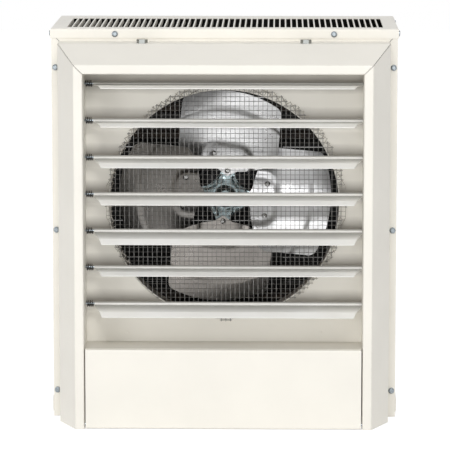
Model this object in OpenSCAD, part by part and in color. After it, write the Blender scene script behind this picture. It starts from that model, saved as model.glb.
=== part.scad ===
// Electric unit heater: a sheet steel cabinet with a bevelled front frame, seven louvres
// held by springs, a four-blade fan behind a wire mesh, finned heating elements, and a
// wiring compartment behind a drop-down door.
// Origin at the middle of the base, +Z up, front towards -Y, millimetres.

/* [Front frame] */
// Clear width of the air outlet between the posts
outlet_w = 381; // [376:1:400]
// Clear height of the air outlet above the shelf
outlet_h = 378; // [376:1:400]
// Height of the shelf and of the top of the door
shelf_z = 111; // [105:1:130]
// Width of the flat lip around the outlet
lip_w = 12.5; // [10:0.5:18]
// Width of the bevel beside the lip
bevel_w = 24.6; // [20:0.2:32]
// Depth of the bevel
bevel_d = 52; // [40:1:56]
// Depth of the front frame, from its lip to the cabinet
frame_d = 88.5; // [84:0.5:100]
// Depth from the lip back to the orifice panel
recess_d = 66.6; // [62:0.2:72]
// Width of the strip that is screwed to the cabinet
strip_w = 10.9; // [10:0.1:16]
// Dark gap of the mitred corners
mitre_gap = 0.6; // [0.2:0.1:1.2]
// Distance of the hanger bolts behind the bevel
hanger_in = 8.5; // [8:0.1:9]
// Distance between the hanger bolts
hanger_w = 224; // [160:1:300]

/* [Cabinet] */
// Thickness of the cabinet sheet
sheet_t = 1.2; // [1:0.1:1.5]
// Depth of the cabinet behind the front frame
cabinet_d = 211.5; // [209:0.5:240]
// Height of the cabinet floor over the lower edge of the front frame
floor_z = 7; // [6:0.5:9]
// Height of the side lips of the bottom pan
pan_lip_h = 20; // [14:1:30]
// Height of the lips of the top cover
cover_lip_h = 13.4; // [12:0.2:18]
// Space between the frame's ledge and the front lip of the cover
ledge_gap = 4; // [2:0.5:7]
// Number of vent slots in the top cover
slot_n = 55; // [20:1:56]
// Distance from one vent slot to the next
slot_pitch = 7.98; // [7.9:0.01:8.1]
// Width of a vent slot
slot_w = 6.8; // [5:0.1:7]
// Length of a vent slot
slot_l = 148; // [100:1:160]
// Distance of the vent slots behind the front of the cabinet
slot_inset = 23.5; // [16:0.5:40]

/* [Louvres] */
// Number of louvres
louvre_n = 7; // [7]
// Depth of the top pivot below the top of the outlet
louvre_top_gap = 16.5; // [15.5:0.1:18]
// Height of the lowest pivot above the shelf
louvre_bottom_gap = 56.7; // [52:0.1:60]
// Depth of the pivots behind the lip
pivot_d = 44; // [44:0.5:50]
// Length of a louvre's web
web_l = 28; // [22:0.5:29]
// Length of a louvre's front lip
blade_lip_l = 13; // [10:0.5:14]
// Downward bend of the front lip, in degrees
blade_lip_bend = 14; // [5:1:20]
// Taper of each end towards the front lip
blade_taper = 12.5; // [6:0.5:16]
// Thickness of a louvre's sheet
louvre_t = 1; // [0.8:0.1:1.2]
// Outer radius of the rolled pivot edge
roll_r = 2.6; // [2.5:0.1:3]
// Length of the spring at the left end of a louvre
spring_l = 12; // [11:0.5:14]
// Outer radius of the spring
spring_r = 4.75; // [4.5:0.05:5.5]
// Radius of the spring wire
spring_wire_r = 0.6; // [0.5:0.05:0.65]
// Whole curls of one spring
spring_curls = 4; // [3:1:4]

/* [Fan and orifice] */
// Sheet left between the orifice and the nearest edge of the outlet
orifice_margin = 31; // [26:0.5:34]
// Height of the orifice and fan axis above the middle of the outlet
orifice_lift = 2.5; // [0:0.5:4]
// Length of the orifice throat behind its panel
throat_l = 30; // [20:1:50]
// Clearance between the fan's blade tips and the throat
tip_gap = 9.5; // [6:0.5:16]
// Depth of the fan's hub behind the orifice panel
fan_setback = 86.4; // [84:0.2:90]
// Pitch of the blades, in degrees
blade_pitch = 20; // [14:1:22]
// Thickness of a blade
blade_t = 1.5; // [1.2:0.1:2]
// Half width of a blade along its surface
blade_half = 74.5; // [68:0.5:78]
// Turn of the fan where it is at rest, in degrees clockwise from the front
fan_turn = 5.8; // [0:0.1:45]
// Lap of the mesh disc over the sheet around the orifice
mesh_lap = 8; // [7:0.5:12]
// Distance between the wires of the mesh
mesh_pitch = 19.05; // [18:0.05:25.4]
// Thickness of the mesh wires
mesh_wire = 1; // [0.8:0.1:1.4]

/* [Motor and heat] */
// Radius of the motor
motor_r = 43; // [40:0.5:48]
// Length of the motor's stator
stator_l = 46; // [36:1:48]
// Length of each end bell
bell_l = 16; // [12:1:17]
// Radius of the motor shaft
shaft_r = 4; // [4:0.5:6]
// Length of the fan's hub
hub_l = 24; // [18:1:25]
// Radius of a heating element's tube
tube_r = 4; // [3:0.5:5]
// Radius of the element's fins
fin_r = 11; // [9:0.5:12]
// Distance from one fin to the next
fin_pitch = 9; // [8:0.5:14]
// Distance between the two legs of a hairpin
leg_pitch = 32; // [30:1:36]
// Distance of the outermost hairpins inside the throat's radius
row_inset = 4; // [2:0.5:8]
// Distance of the first hairpin from the fan axis
row_start = 78; // [76:1:84]

/* [Hidden] */
$fn = 48;

// Colours
cream = [0.93, 0.91, 0.85];
pale_cream = [0.96, 0.95, 0.91];
aluminium = [0.86, 0.87, 0.88];
zinc = [0.72, 0.74, 0.76];
galvanised = [0.66, 0.72, 0.75];
black = [0.1, 0.1, 0.1];
dark_steel = [0.3, 0.29, 0.28];
copper = [0.72, 0.45, 0.3];

// Fits and small values shared by several pieces
cut = 1;              // overrun of a cutter past the face that it opens
fit = 0.05;           // radial clearance of a shaft or rod in its hole
gap = 0.3;            // clearance between pieces that move past each other
seam = 0.3;           // clearance between the side panel and the cover's side lip
bend_r = 1.2;         // inner radius of a bend in the sheet
bend_steps = 4;       // flats that make up the round of a bend
flange_w = 12;        // width of a hidden joining flange

// Planes of the cabinet
front_y = -(frame_d + cabinet_d) / 2;
cab_y = front_y + frame_d;
rear_y = cab_y + cabinet_d;
recess_y = front_y + recess_d;
outlet_half = outlet_w / 2;
frame_half = outlet_half + lip_w + bevel_w;
hanger_d = bevel_d + hanger_in;
side_x = frame_half + strip_w;
inner_x = side_x - sheet_t;
outlet_top = shelf_z + outlet_h;
frame_top = outlet_top + lip_w + bevel_w;
strip_top = frame_top + strip_w;
cover_z = frame_top + ledge_gap + cover_lip_h;
trim_reach = ledge_gap + cover_lip_h - sheet_t * 2;
cover_x = side_x + seam + sheet_t;
floor_top = floor_z + sheet_t;

// Screws and bolts
screw_r = 2.1;
screw_head_r = 4.2;
screw_head_h = 2.2;
screw_l = 9;
screw_crown = 0.9;          // height of the rounded part of a screw head
screw_shoulder = 3.6;       // radius where a screw head's side turns into its top
screw_flat_r = 2.1;         // radius of the flat middle of a screw head
screw_shoulder_drop = 0.35;
cross_w = 0.9;              // width of the cross recess
cross_d = 1.1;              // depth of the cross recess
strip_screw_inset = 37.4;   // lowest strip screw above the base
cover_screw_w = 301.4;      // distance between the front screws of the cover
cover_screw_drop = 7.4;     // depth of the cover's screws below its top
cover_screw_front = 13;     // first side screw behind the front of the cabinet
cover_screw_back = 30;      // last side screw ahead of the rear
bolt_r = 4;
bolt_l = 38.1;
bolt_af = 13;
bolt_head_h = 5.3;
nut_h = 6.5;

// Access door and its hinge
door_gap = 1.5;         // gap between the door and the posts
door_base = 0.5;        // lower edge of the door above the base
door_return = 12;       // depth of the door's folded edges
hinge_in = 6;           // hinge axis behind the door's face and above the base
hinge_pin_r = 2;
hinge_flange_r = 3.4;
hinge_flange_t = 0.9;
door_half = outlet_half - door_gap;
hinge_y = front_y + hinge_in;
catch_x = 120;          // catches to each side of the middle
catch_w = 22;
catch_h = 9;
catch_l = 24;
pole_w = 6;
pole_t = 1.2;
shelf_drop = 12;        // rear flange of the shelf
shelf_front = front_y + door_return + cut;
sill_front = hinge_y + hinge_in * sqrt(2) + gap;
sill_lip_h = 10;
sill_lap = 25;          // the sill's tongue under the bottom pan
sill_tongue_half = 150;
divider_drop = 5;       // divider below the shelf
divider_top = shelf_z - divider_drop;
divider_neck = outlet_half + flange_w - sheet_t;

// Orifice panel, throat and mesh
orifice_r = min(outlet_w, outlet_h) / 2 - orifice_margin;
orifice_z = shelf_z + outlet_h / 2 + orifice_lift;
rim_r = 0.8;            // inner radius of the rounded rim of the throat
throat_flange = 14;
dimple_r = 2.6;
dimple_d = 0.6;
dimple_x = 134.6;
dimple_rise = 12.3;
mesh_r = orifice_r + mesh_lap;
mesh_shift_x = 2.5;     // the mesh sits a little off the centre of the opening
mesh_shift_z = 3.5;

// Louvre places and the tilt at which each was left, in degrees
rod_r = 1.5;
rod_over = 5;           // how far a rod reaches past the post's wall
pivot_y = front_y + pivot_d;
louvre_pitch = (outlet_h - louvre_top_gap - louvre_bottom_gap) / (louvre_n - 1);
louvre_left = -outlet_half + spring_l + gap;
louvre_right = outlet_half - gap;
louvre_tilts = [-3.5, -1, 6, 6.5, 12, 1, 11];
spring_sides = 6;
spring_rings = 8;

// Fan spider and blades
fan_y = recess_y + fan_setback;
fan_r = orifice_r - tip_gap;
arm_t = 2.5;
hub_r = 12;
hub_disc_r = 19;
hub_dome_r = 16;        // domed middle of the spider, in front of the hub
hub_dome_head = 8;
hub_dome_h = 6;
arm_start = 13;         // radius at which an arm leaves the hub disc
arm_flat = 26;          // radius from which an arm lies flat at full pitch
arm_waist_r = 36;       // radius of the narrowest place of an arm
arm_end = 65;
arm_root_half = 24;
arm_waist_half = 10;
arm_end_half = 33;
arm_root_curve = 1.35;  // power of the hollow curve between two arms
arm_flare = 20;         // length over which an arm widens under its blade
arm_corner = 9;
bead_h = 1.8;           // rib pressed along the hollow sides of an arm
bead_share = 0.7;       // place of the rib, of half the arm's width
bead_half_share = 0.22;
bead_rim_h = 1;         // turned-up edge beyond the rib
bead_fade = 4;
blade_root_r = 36;
blade_root_rise = 21;
tongue_l = 8;
tongue_half = 14;
blade_corner = 7;
pad_half = 31;          // flat pad that carries the rivets, with a pressed ridge around it
pad_top = 67.5;
pad_corner = 16;
ridge_w = 9;
ridge_h = 3;
camber = 4.5;
camber_run = 60;
tip_step_r = 119;       // shallow step pressed around the blade's outer part
tip_step_w = 5;
tip_step_h = 1.5;
rivet_in_r = 36;
rivet_out_r = 57.5;
rivet_out_s = 23;
rivet_r = 2.4;
rivet_head_r = 4;
rivet_head_h = 2;
rivet_tail_h = 1.4;
rivet_tail_r = 3.2;
set_screw_r = 2.5;
set_screw_l = 7;
blade_cols = 25;
blade_rows = 13;
arm_cols = 9;
arm_rows = 13;

// Motor and its bar
motor_gap = 3;
shaft_proud = 1;        // end of the shaft in front of the spider's dome
rotor_gap = 0.5;
rotor_r = motor_r / 2;
motor_y = fan_y + hub_l + motor_gap;
stator_y = motor_y + bell_l;
stator_rear = stator_y + stator_l;
motor_rear = stator_rear + bell_l;
bell_wall = 4;
bell_vent_r = 5;
bell_vents = 8;
bell_boss_r = 13;
bell_boss_h = 2;
bell_face_r = 33;
vent_circle_r = 28.4;   // circle of the vent holes
stator_band = 1.5;          // the bells stand in from the stator by this
stud_circle = 33;
stud_r = 2.5;
stud_seat = 4;
stud_nut_h = 4;
stud_nut_af = 8;
bar_t = 2;
bar_h = 96;
bar_flange = 14;
bar_end_gap = 2;        // space between the bar's end tabs and the rear panel's flanges

// Heating elements
leg_front_y = motor_y + bell_l + tube_r * 3;
bracket_in = 41.3;      // brackets inside the side panels
leg_start_in = 23.3;    // left ends of the legs, inside the side panel
leg_bend_in = 33.3;     // bends of the hairpins, inside the side panel
bracket_x = inner_x - bracket_in;
leg_start = inner_x - leg_start_in;
leg_bend = inner_x - leg_bend_in;
row_pitch = (orifice_r - row_inset - row_start) / 2;
terminal_l = 12;
terminal_r = 2;
fin_margin = 9;         // space between the fins and a bracket
fin_end = bracket_x - fin_margin;
fin_t = 1.2;
fin_collar = 0.7;
bracket_margin = 16;
row_signs = [for (side = [-1, 1]) for (row = [0:2]) side * (row_start + row * row_pitch)];
limit_r = 8;
limit_h = 9;
limit_flange_r = 11;
limit_tab_w = 6;
limit_tab_h = 8;
limit_tab_t = 0.8;

// Wiring compartment
contactor_w = 72;
contactor_d = 84;
contactor_h = 58;
contactor_x = -122;
contactor_base_h = 36;      // height of the base under the coil housing
contactor_coil_d = 42;
contactor_cell_w = 18;
contactor_cell_pitch = 22.5;
contactor_cell_z = 26;
contactor_screw_in = 9.2;   // terminal screws inside the base's edge
transformer_w = 58;
transformer_d = 50;
transformer_h = 48;
transformer_x = -12;
block_w = 120;
block_d = 36;
block_h = 30;
block_x = 100;
lug_x = 182;
devices_in = 52;        // middle of the devices behind the front of the cabinet
devices_y = cab_y + devices_in;
device_screw_r = 3.2;
device_screw_h = 2;
device_foot = 8;
device_foot_t = 2;

// Rear panel
rear_slot_h = 6.8;
rear_slot_cols = 3;
rear_slot_rows = 17;
rear_slot_pitch = 18;
rear_slot_margin = 38.3;    // plain sheet beside the outer columns of slots
rear_slot_bridge = 22;      // plain sheet between two columns
rear_slot_w = (inner_x * 2 - rear_slot_margin * 2 - rear_slot_bridge * 2) / rear_slot_cols;
rear_col_pitch = rear_slot_w + rear_slot_bridge;
rear_tab_l = 8;
rear_tab_t = 1;
rear_slots_z = orifice_z - rear_slot_pitch * (rear_slot_rows - 1) / 2;
wall_hole_w = 400;
wall_hole_h = 420;
wall_hole_r = 4.4;
knockout_r = 11.1;
knockout_x = 150;
knockout_z = 52;
rear_screw_in = 7;
rear_screw_zs = [floor_z + pan_lip_h * 2.5, (floor_z + cover_z) / 2, cover_z - pan_lip_h * 2.5];

// Geometry of a folded sheet, seen along its bends
function unit(v) = v / norm(v);
function left_of(v) = [-v[1], v[0]];
function heading(v) = atan2(v[1], v[0]);
function wrap(a) = a > 180 ? a - 360 : a < -180 ? a + 360 : a;

// Points round the bend at q, off the guide line by the amount off
function bend_points(p, q, r, off, t, inner) =
    let (
        start = heading(q - p),
        turn = wrap(heading(r - q) - start),
        side = sign(turn),
        reach = side > 0 ? inner + t : inner,
        back = reach * tan(abs(turn) / 2),
        centre = q - back * unit(q - p) + side * reach * left_of(unit(q - p))
    )
    [for (k = [0:bend_steps])
        let (a = start + turn * k / bend_steps + 90)
        centre - (side * reach - off) * [cos(a), sin(a)]];

function sheet_line(pts, off, t, inner) =
    let (last = len(pts) - 1)
    concat(
        [pts[0] + off * left_of(unit(pts[1] - pts[0]))],
        [for (i = [1:1:last - 1]) each bend_points(pts[i - 1], pts[i], pts[i + 1], off, t, inner)],
        [pts[last] + off * left_of(unit(pts[last] - pts[last - 1]))]);

// Closed outline of a sheet that lies to the left of the guide line
function sheet_outline(pts, t = sheet_t, inner = bend_r) =
    let (
        face = sheet_line(pts, 0, t, inner),
        back = sheet_line(pts, t, t, inner)
    )
    concat(face, [for (i = [len(back) - 1:-1:0]) back[i]]);

// Section of the front frame, from the orifice panel round the lip to the screw strip
function frame_section(edge, reach) = [
    [edge + flange_w, recess_y],
    [edge, recess_y],
    [edge, front_y],
    [edge + lip_w, front_y],
    [edge + lip_w + bevel_w, front_y + bevel_d],
    [edge + lip_w + bevel_w, cab_y],
    [edge + lip_w + bevel_w + reach, cab_y]];

function louvre_z(i) = outlet_top - louvre_top_gap - i * louvre_pitch;
function strip_screw_zs() = let (top = outlet_top + cut)
    [strip_screw_inset, (strip_screw_inset + top) / 2, top];
function ease(x) = let (c = min(1, max(0, x))) c * c * (3 - 2 * c);
function round_off(d, r) = r - sqrt(max(0, r * r - pow(max(0, d), 2)));

// Extrusions along each axis; the outline's second axis is up, or back for along_z
module along_x(x0, x1) {
    translate([x0, 0, 0]) rotate([90, 0, 90]) linear_extrude(x1 - x0) children();
}
module along_y(y0, y1) {
    translate([0, y1, 0]) rotate([90, 0, 0]) linear_extrude(y1 - y0) children();
}
module along_z(z0, z1) {
    translate([0, 0, z0]) linear_extrude(z1 - z0) children();
}
module block(lo, hi) {
    translate(lo) cube(hi - lo);
}
module hole_x(x0, x1, r) {
    translate([x0, 0, 0]) rotate([0, 90, 0]) cylinder(r = r, h = x1 - x0);
}
module hole_y(y0, y1, r) {
    translate([0, y1, 0]) rotate([90, 0, 0]) cylinder(r = r, h = y1 - y0);
}
module both_sides() {
    children();
    mirror([1, 0, 0]) children();
}

// Pan head screw, head up on z = 0
module pan_screw(length = screw_l) {
    difference() {
        rotate_extrude() polygon([
            [0, -length], [screw_r / 2, -length], [screw_r, -length + screw_r],
            [screw_r, 0], [screw_head_r, 0], [screw_head_r, screw_head_h - screw_crown],
            [screw_shoulder, screw_head_h - screw_shoulder_drop],
            [screw_flat_r, screw_head_h], [0, screw_head_h]]);
        for (a = [0, 90]) rotate(a) translate([0, 0, screw_head_h])
            cube([screw_head_r, cross_w, cross_d * 2], center = true);
    }
}

// One post of the front frame, drawn on the right
module post() {
    far = strip_top + cut;
    slope = mitre_gap / sqrt(2);
    difference() {
        along_z(0, far) polygon(sheet_outline(frame_section(outlet_half, strip_w)));
        // Mitred end, which leaves half of the dark gap
        along_y(front_y - cut, cab_y + flange_w) polygon([
            [outlet_half - cut, outlet_top - cut - slope],
            [side_x + cut, outlet_top + side_x - outlet_half + cut - slope],
            [side_x + cut, far + side_x], [outlet_half - cut, far + side_x]]);
        for (i = [0:louvre_n - 1]) translate([0, pivot_y, louvre_z(i)])
            hole_x(outlet_half - cut, outlet_half + sheet_t + cut, rod_r + fit);
        translate([0, hinge_y, hinge_in])
            hole_x(outlet_half - cut, outlet_half + sheet_t + cut, hinge_pin_r + fit);
        for (z = strip_screw_zs()) translate([frame_half + strip_w / 2, 0, z])
            hole_y(cab_y - cut, cab_y + sheet_t + cut, screw_r + fit);
    }
}

module top_trim() {
    color(pale_cream) difference() {
        translate([side_x, 0, 0]) rotate([0, -90, 0]) linear_extrude(side_x * 2)
            polygon(sheet_outline(frame_section(outlet_top, trim_reach)));
        both_sides() along_y(front_y - cut, cab_y + flange_w) polygon([
            [outlet_half - cut, outlet_top - cut + mitre_gap / sqrt(2)],
            [side_x + cut, outlet_top + side_x - outlet_half + cut + mitre_gap / sqrt(2)],
            [side_x + cut, outlet_top - strip_w], [outlet_half - cut, outlet_top - strip_w]]);
        both_sides() translate([hanger_w / 2, front_y + hanger_d, outlet_top - cut])
            cylinder(r = bolt_r + fit, h = frame_top - outlet_top + cut * 2);
        both_sides() translate([cover_screw_w / 2, 0, cover_z - cover_screw_drop])
            hole_y(cab_y - cut, cab_y + sheet_t + cut, screw_r + fit);
    }
}

module left_post() { color(pale_cream) mirror([1, 0, 0]) post(); }
module right_post() { color(pale_cream) post(); }

// Side panel with its front flange behind the screw strip, drawn on the right
module side_panel() {
    difference() {
        along_z(floor_top, cover_z - sheet_t - bend_r) polygon(sheet_outline([
            [frame_half - flange_w, cab_y + sheet_t], [side_x, cab_y + sheet_t],
            [side_x, rear_y]]));
        for (z = strip_screw_zs()) translate([frame_half + strip_w / 2, 0, z])
            hole_y(cab_y, cab_y + sheet_t * 2 + cut, screw_r + fit);
        for (y = [cab_y + cover_screw_front, rear_y - cover_screw_back])
            translate([0, y, cover_z - cover_screw_drop])
                hole_x(inner_x - cut, side_x + cut, screw_r + fit);
        for (z = rear_screw_zs) translate([0, rear_y - rear_screw_in, z])
            hole_x(inner_x - cut, side_x + cut, screw_r + fit);
    }
}

module left_side_panel() { color(cream) mirror([1, 0, 0]) side_panel(); }
module right_side_panel() { color(cream) side_panel(); }

module bottom_pan() {
    lip_top = floor_z + pan_lip_h;
    chamfer = pan_lip_h / 3;
    color(cream) difference() {
        along_y(cab_y + sheet_t, rear_y) polygon(sheet_outline([
            [side_x, lip_top], [side_x, floor_top], [-side_x, floor_top],
            [-side_x, lip_top]], inner = fit));
        // Bevelled front corner of each side lip
        along_x(-side_x - sheet_t - cut, side_x + sheet_t + cut) polygon([
            [cab_y, lip_top - chamfer], [cab_y + sheet_t + chamfer, lip_top + cut],
            [cab_y, lip_top + cut]]);
    }
}

// Floor of the compartment between the posts, which carries the door's lower edge
module door_sill() {
    color(cream) {
        along_y(sill_front, cab_y) polygon(sheet_outline([
            [-outlet_half, floor_z + sill_lip_h], [-outlet_half, floor_z - sheet_t],
            [outlet_half, floor_z - sheet_t], [outlet_half, floor_z + sill_lip_h]]));
        block([-sill_tongue_half, cab_y - cut, floor_z - sheet_t],
            [sill_tongue_half, cab_y + sill_lap, floor_z]);
    }
}

module top_cover() {
    tab_t = slot_pitch / 10;
    first = -slot_pitch * (slot_n - 1) / 2;
    slot_y = cab_y + slot_inset;
    sides = [[cover_x, cover_z - cover_lip_h], [cover_x, cover_z], [-cover_x, cover_z],
        [-cover_x, cover_z - cover_lip_h]];
    color(cream) difference() {
        union() {
            along_y(cab_y, rear_y) polygon(sheet_outline(sides));
            intersection() {
                along_y(cab_y - sheet_t, cab_y + flange_w)
                    polygon(sheet_line(sides, 0, sheet_t, bend_r));
                along_x(-cover_x, cover_x) polygon(sheet_outline([
                    [cab_y + flange_w, cover_z], [cab_y - sheet_t, cover_z],
                    [cab_y - sheet_t, cover_z - cover_lip_h]]));
            }
        }
        for (i = [0:slot_n - 1])
            block([first + i * slot_pitch - slot_w / 2 + tab_t, slot_y, cover_z - sheet_t - cut],
                [first + i * slot_pitch + slot_w / 2, slot_y + slot_l, cover_z + cut]);
        both_sides() translate([cover_screw_w / 2, 0, cover_z - cover_screw_drop])
            hole_y(cab_y - sheet_t - cut, cab_y + cut, screw_r + fit);
        for (y = [cab_y + cover_screw_front, rear_y - cover_screw_back])
            both_sides() translate([0, y, cover_z - cover_screw_drop])
                hole_x(cover_x - sheet_t - cut, cover_x + cut, screw_r + fit);
    }
    // Tabs pressed out of the slots, each bent down along the slot's left edge
    color(cream) for (i = [0:slot_n - 1])
        block([first + i * slot_pitch - slot_w / 2, slot_y, cover_z - slot_w],
            [first + i * slot_pitch - slot_w / 2 + tab_t, slot_y + slot_l, cover_z - sheet_t / 2]);
}

module rear_slots() {
    for (col = [0:rear_slot_cols - 1]) for (row = [0:rear_slot_rows - 1])
        translate([(col - (rear_slot_cols - 1) / 2) * rear_col_pitch, 0,
            rear_slots_z + row * rear_slot_pitch]) children();
}

// Rear panel: a tray whose flanges lie inside the cabinet
module rear_panel() {
    lo = floor_top;
    hi = cover_z - sheet_t;
    plate_y = rear_y - sheet_t;
    half = inner_x;
    color(cream) difference() {
        union() {
            along_z(lo, hi) polygon(sheet_outline([
                [half, rear_y - flange_w], [half, rear_y], [-half, rear_y],
                [-half, rear_y - flange_w]]));
            for (z = [lo, hi - sheet_t])
                block([-half + flange_w, rear_y - flange_w, z],
                    [half - flange_w, plate_y + sheet_t / 2, z + sheet_t]);
        }
        rear_slots() block([-rear_slot_w / 2, plate_y - cut, -rear_slot_h / 2],
            [rear_slot_w / 2, rear_y + cut, rear_slot_h / 2]);
        for (x = [-wall_hole_w / 2, wall_hole_w / 2]) for (z = [-wall_hole_h / 2, wall_hole_h / 2])
            translate([x, 0, (lo + hi) / 2 + z])
                hole_y(plate_y - cut, rear_y + cut, wall_hole_r);
        translate([knockout_x, 0, knockout_z]) hole_y(plate_y - cut, rear_y + cut, knockout_r);
        both_sides() for (z = rear_screw_zs) translate([0, rear_y - rear_screw_in, z])
            hole_x(half - sheet_t - cut, half + cut, screw_r + fit);
    }
    // Hoods pressed inwards over the slots
    color(cream) rear_slots() along_x(-rear_slot_w / 2, rear_slot_w / 2) polygon([
        [plate_y + sheet_t / 2, rear_slot_h / 2], [plate_y - rear_tab_l * sin(45),
        rear_slot_h / 2 - rear_tab_l * cos(45)],
        [plate_y - rear_tab_l * sin(45) - rear_tab_t * sin(45),
        rear_slot_h / 2 - rear_tab_l * cos(45) + rear_tab_t * cos(45)],
        [plate_y, rear_slot_h / 2 + rear_tab_t]]);
}

module orifice_panel() {
    panel_half = outlet_half + flange_w;
    color(cream) difference() {
        along_y(recess_y, recess_y + sheet_t) difference() {
            translate([-panel_half, shelf_z - shelf_drop])
                square([panel_half * 2, outlet_h + shelf_drop + flange_w]);
            translate([0, orifice_z]) circle(r = orifice_r + rim_r + sheet_t, $fn = 180);
        }
        both_sides() translate([dimple_x, recess_y, shelf_z + dimple_rise])
            rotate([-90, 0, 0]) translate([0, 0, -cut])
                cylinder(r1 = dimple_r * (dimple_d + cut) / dimple_d, r2 = 0, h = dimple_d + cut);
    }
}

// Throat with a rounded rim and a flange behind the panel
module orifice_ring() {
    color(galvanised) translate([0, recess_y + sheet_t, orifice_z]) rotate([-90, 0, 0])
        rotate_extrude($fn = 180) polygon(sheet_outline([
            [orifice_r, throat_l], [orifice_r, 0], [orifice_r + throat_flange, 0]],
            inner = rim_r));
}

module mesh_guard() {
    bars = floor(mesh_r / mesh_pitch);
    color(zinc) translate([mesh_shift_x, 0, orifice_z + mesh_shift_z])
        along_y(recess_y - mesh_wire * 2, recess_y) intersection() {
            circle(r = mesh_r, $fn = 180);
            union() {
                difference() {
                    circle(r = mesh_r + cut, $fn = 180);
                    circle(r = mesh_r - mesh_wire * 2, $fn = 180);
                }
                for (k = [-bars:bars]) {
                    translate([k * mesh_pitch - mesh_wire / 2, -mesh_r])
                        square([mesh_wire, mesh_r * 2]);
                    translate([-mesh_r, k * mesh_pitch - mesh_wire / 2])
                        square([mesh_r * 2, mesh_wire]);
                }
            }
        }
}

module shelf() {
    color(cream) along_x(-outlet_half, outlet_half) polygon(sheet_outline([
        [recess_y, shelf_z - shelf_drop], [recess_y, shelf_z], [shelf_front, shelf_z]]));
}

// Divider between the air chamber above and the wiring compartment below
module compartment_divider() {
    neck_y = recess_y + sheet_t;
    wide_y = cab_y + sheet_t * 2 + bend_r;
    color(cream) {
        along_z(divider_top - sheet_t, divider_top) polygon([
            [-divider_neck, neck_y], [divider_neck, neck_y], [divider_neck, wide_y],
            [inner_x, wide_y], [inner_x, rear_y - flange_w], [-inner_x, rear_y - flange_w],
            [-inner_x, wide_y], [-divider_neck, wide_y]]);
        // Flanges up the orifice panel and the side panels
        block([-divider_neck, neck_y, divider_top - sheet_t / 2],
            [divider_neck, neck_y + sheet_t, divider_top + flange_w / 2]);
        both_sides() block([inner_x - sheet_t, wide_y, divider_top - sheet_t / 2],
            [inner_x, rear_y - flange_w, divider_top + flange_w]);
    }
}

module access_door() {
    color(pale_cream) difference() {
        union() {
            along_x(-door_half, door_half) polygon(sheet_outline([
                [front_y + door_return, shelf_z], [front_y, shelf_z], [front_y, door_base],
                [front_y + door_return, door_base]]));
            both_sides() block([door_half - sheet_t, front_y + sheet_t / 2, door_base + bend_r],
                [door_half, front_y + door_return, shelf_z - bend_r]);
        }
        translate([0, hinge_y, hinge_in])
            hole_x(-door_half - cut, door_half + cut, hinge_pin_r + fit);
        // Rounded heel that clears the sill as the door drops
        along_x(-door_half - cut, door_half + cut) difference() {
            translate([hinge_y, door_base - cut]) square([door_return, hinge_in - door_base + cut]);
            translate([hinge_y, hinge_in]) circle(r = hinge_in * sqrt(2) - gap);
        }
    }
}

module door_hinge_pins() {
    color(zinc) both_sides() translate([0, hinge_y, hinge_in]) {
        hole_x(door_half - sheet_t - gap, outlet_half + sheet_t, hinge_pin_r);
        hole_x(door_half - sheet_t - gap - hinge_flange_t, door_half - sheet_t - gap,
            hinge_flange_r);
        hole_x(outlet_half + sheet_t, outlet_half + sheet_t + hinge_flange_t, hinge_flange_r);
    }
}

// Magnetic catches under the front edge of the shelf
module door_catches() {
    top = shelf_z - sheet_t;
    face_y = front_y + sheet_t + gap;
    for (x = [-catch_x, catch_x]) translate([x, 0, 0]) {
        color(black) along_x(-catch_w / 2, catch_w / 2) polygon([
            [face_y + pole_t, top - catch_h], [face_y + pole_t, top - sheet_t],
            [shelf_front, top - sheet_t], [shelf_front, top], [face_y + catch_l, top],
            [face_y + catch_l, top - catch_h]]);
        color(zinc) block([-pole_w, face_y, top - catch_h + pole_t],
            [pole_w, face_y + pole_t * 2, top - sheet_t - pole_t]);
    }
}

// Louvre in its own frame: rod along X through the origin, front towards -Y
module louvre(i) {
    chord = web_l + blade_lip_l;
    tip = [-web_l - blade_lip_l * cos(blade_lip_bend), -roll_r - blade_lip_l * sin(blade_lip_bend)];
    color(aluminium) translate([0, pivot_y, louvre_z(i)]) rotate([louvre_tilts[i], 0, 0])
        difference() {
            along_x(louvre_left, louvre_right) difference() {
                union() {
                    circle(r = roll_r);
                    polygon(sheet_outline([tip, [-web_l, -roll_r], [0, -roll_r]],
                        t = louvre_t, inner = bend_r));
                }
                circle(r = rod_r + fit);
            }
            // Both ends taper towards the front lip
            along_z(-chord, chord) {
                polygon([[louvre_right, -roll_r], [louvre_right + cut, -roll_r],
                    [louvre_right + cut, -chord - cut], [louvre_right - blade_taper, -chord - cut]]);
                polygon([[louvre_left, -roll_r], [louvre_left - cut, -roll_r],
                    [louvre_left - cut, -chord - cut], [louvre_left + blade_taper, -chord - cut]]);
            }
        }
}

module louvre_rods() {
    reach = outlet_half + sheet_t + rod_over;
    color(zinc) for (i = [0:louvre_n - 1]) translate([0, pivot_y, louvre_z(i)])
        hole_x(-reach, reach, rod_r);
}

// Route of a spring's wire: straight out of the wall, round its curls, straight again
function spring_route() =
    let (
        wind_r = spring_r - spring_wire_r,
        run = spring_wire_r * 2,
        steps = spring_curls * spring_rings,
        rise = spring_l - run * 2
    )
    concat([[0, wind_r, 0]],
        [for (k = [0:steps]) let (a = 360 * k / spring_rings)
            [run + rise * k / steps, wind_r * cos(a), wind_r * sin(a)]],
        [[spring_l, wind_r, 0]]);

// Ring of points square to the route at point k
function tube_ring(route, k, r, sides) =
    let (
        last = len(route) - 1,
        way = k == 0 || k == last ? [1, 0, 0]
            : unit(route[k + 1] - route[k - 1]),
        out = unit([0, route[k][1], route[k][2]]),
        across = unit(cross(way, out)),
        up = cross(across, way)
    )
    [for (j = [0:sides - 1])
        let (a = 360 * j / sides)
        route[k] + r * (up * cos(a) + across * sin(a))];

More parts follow.
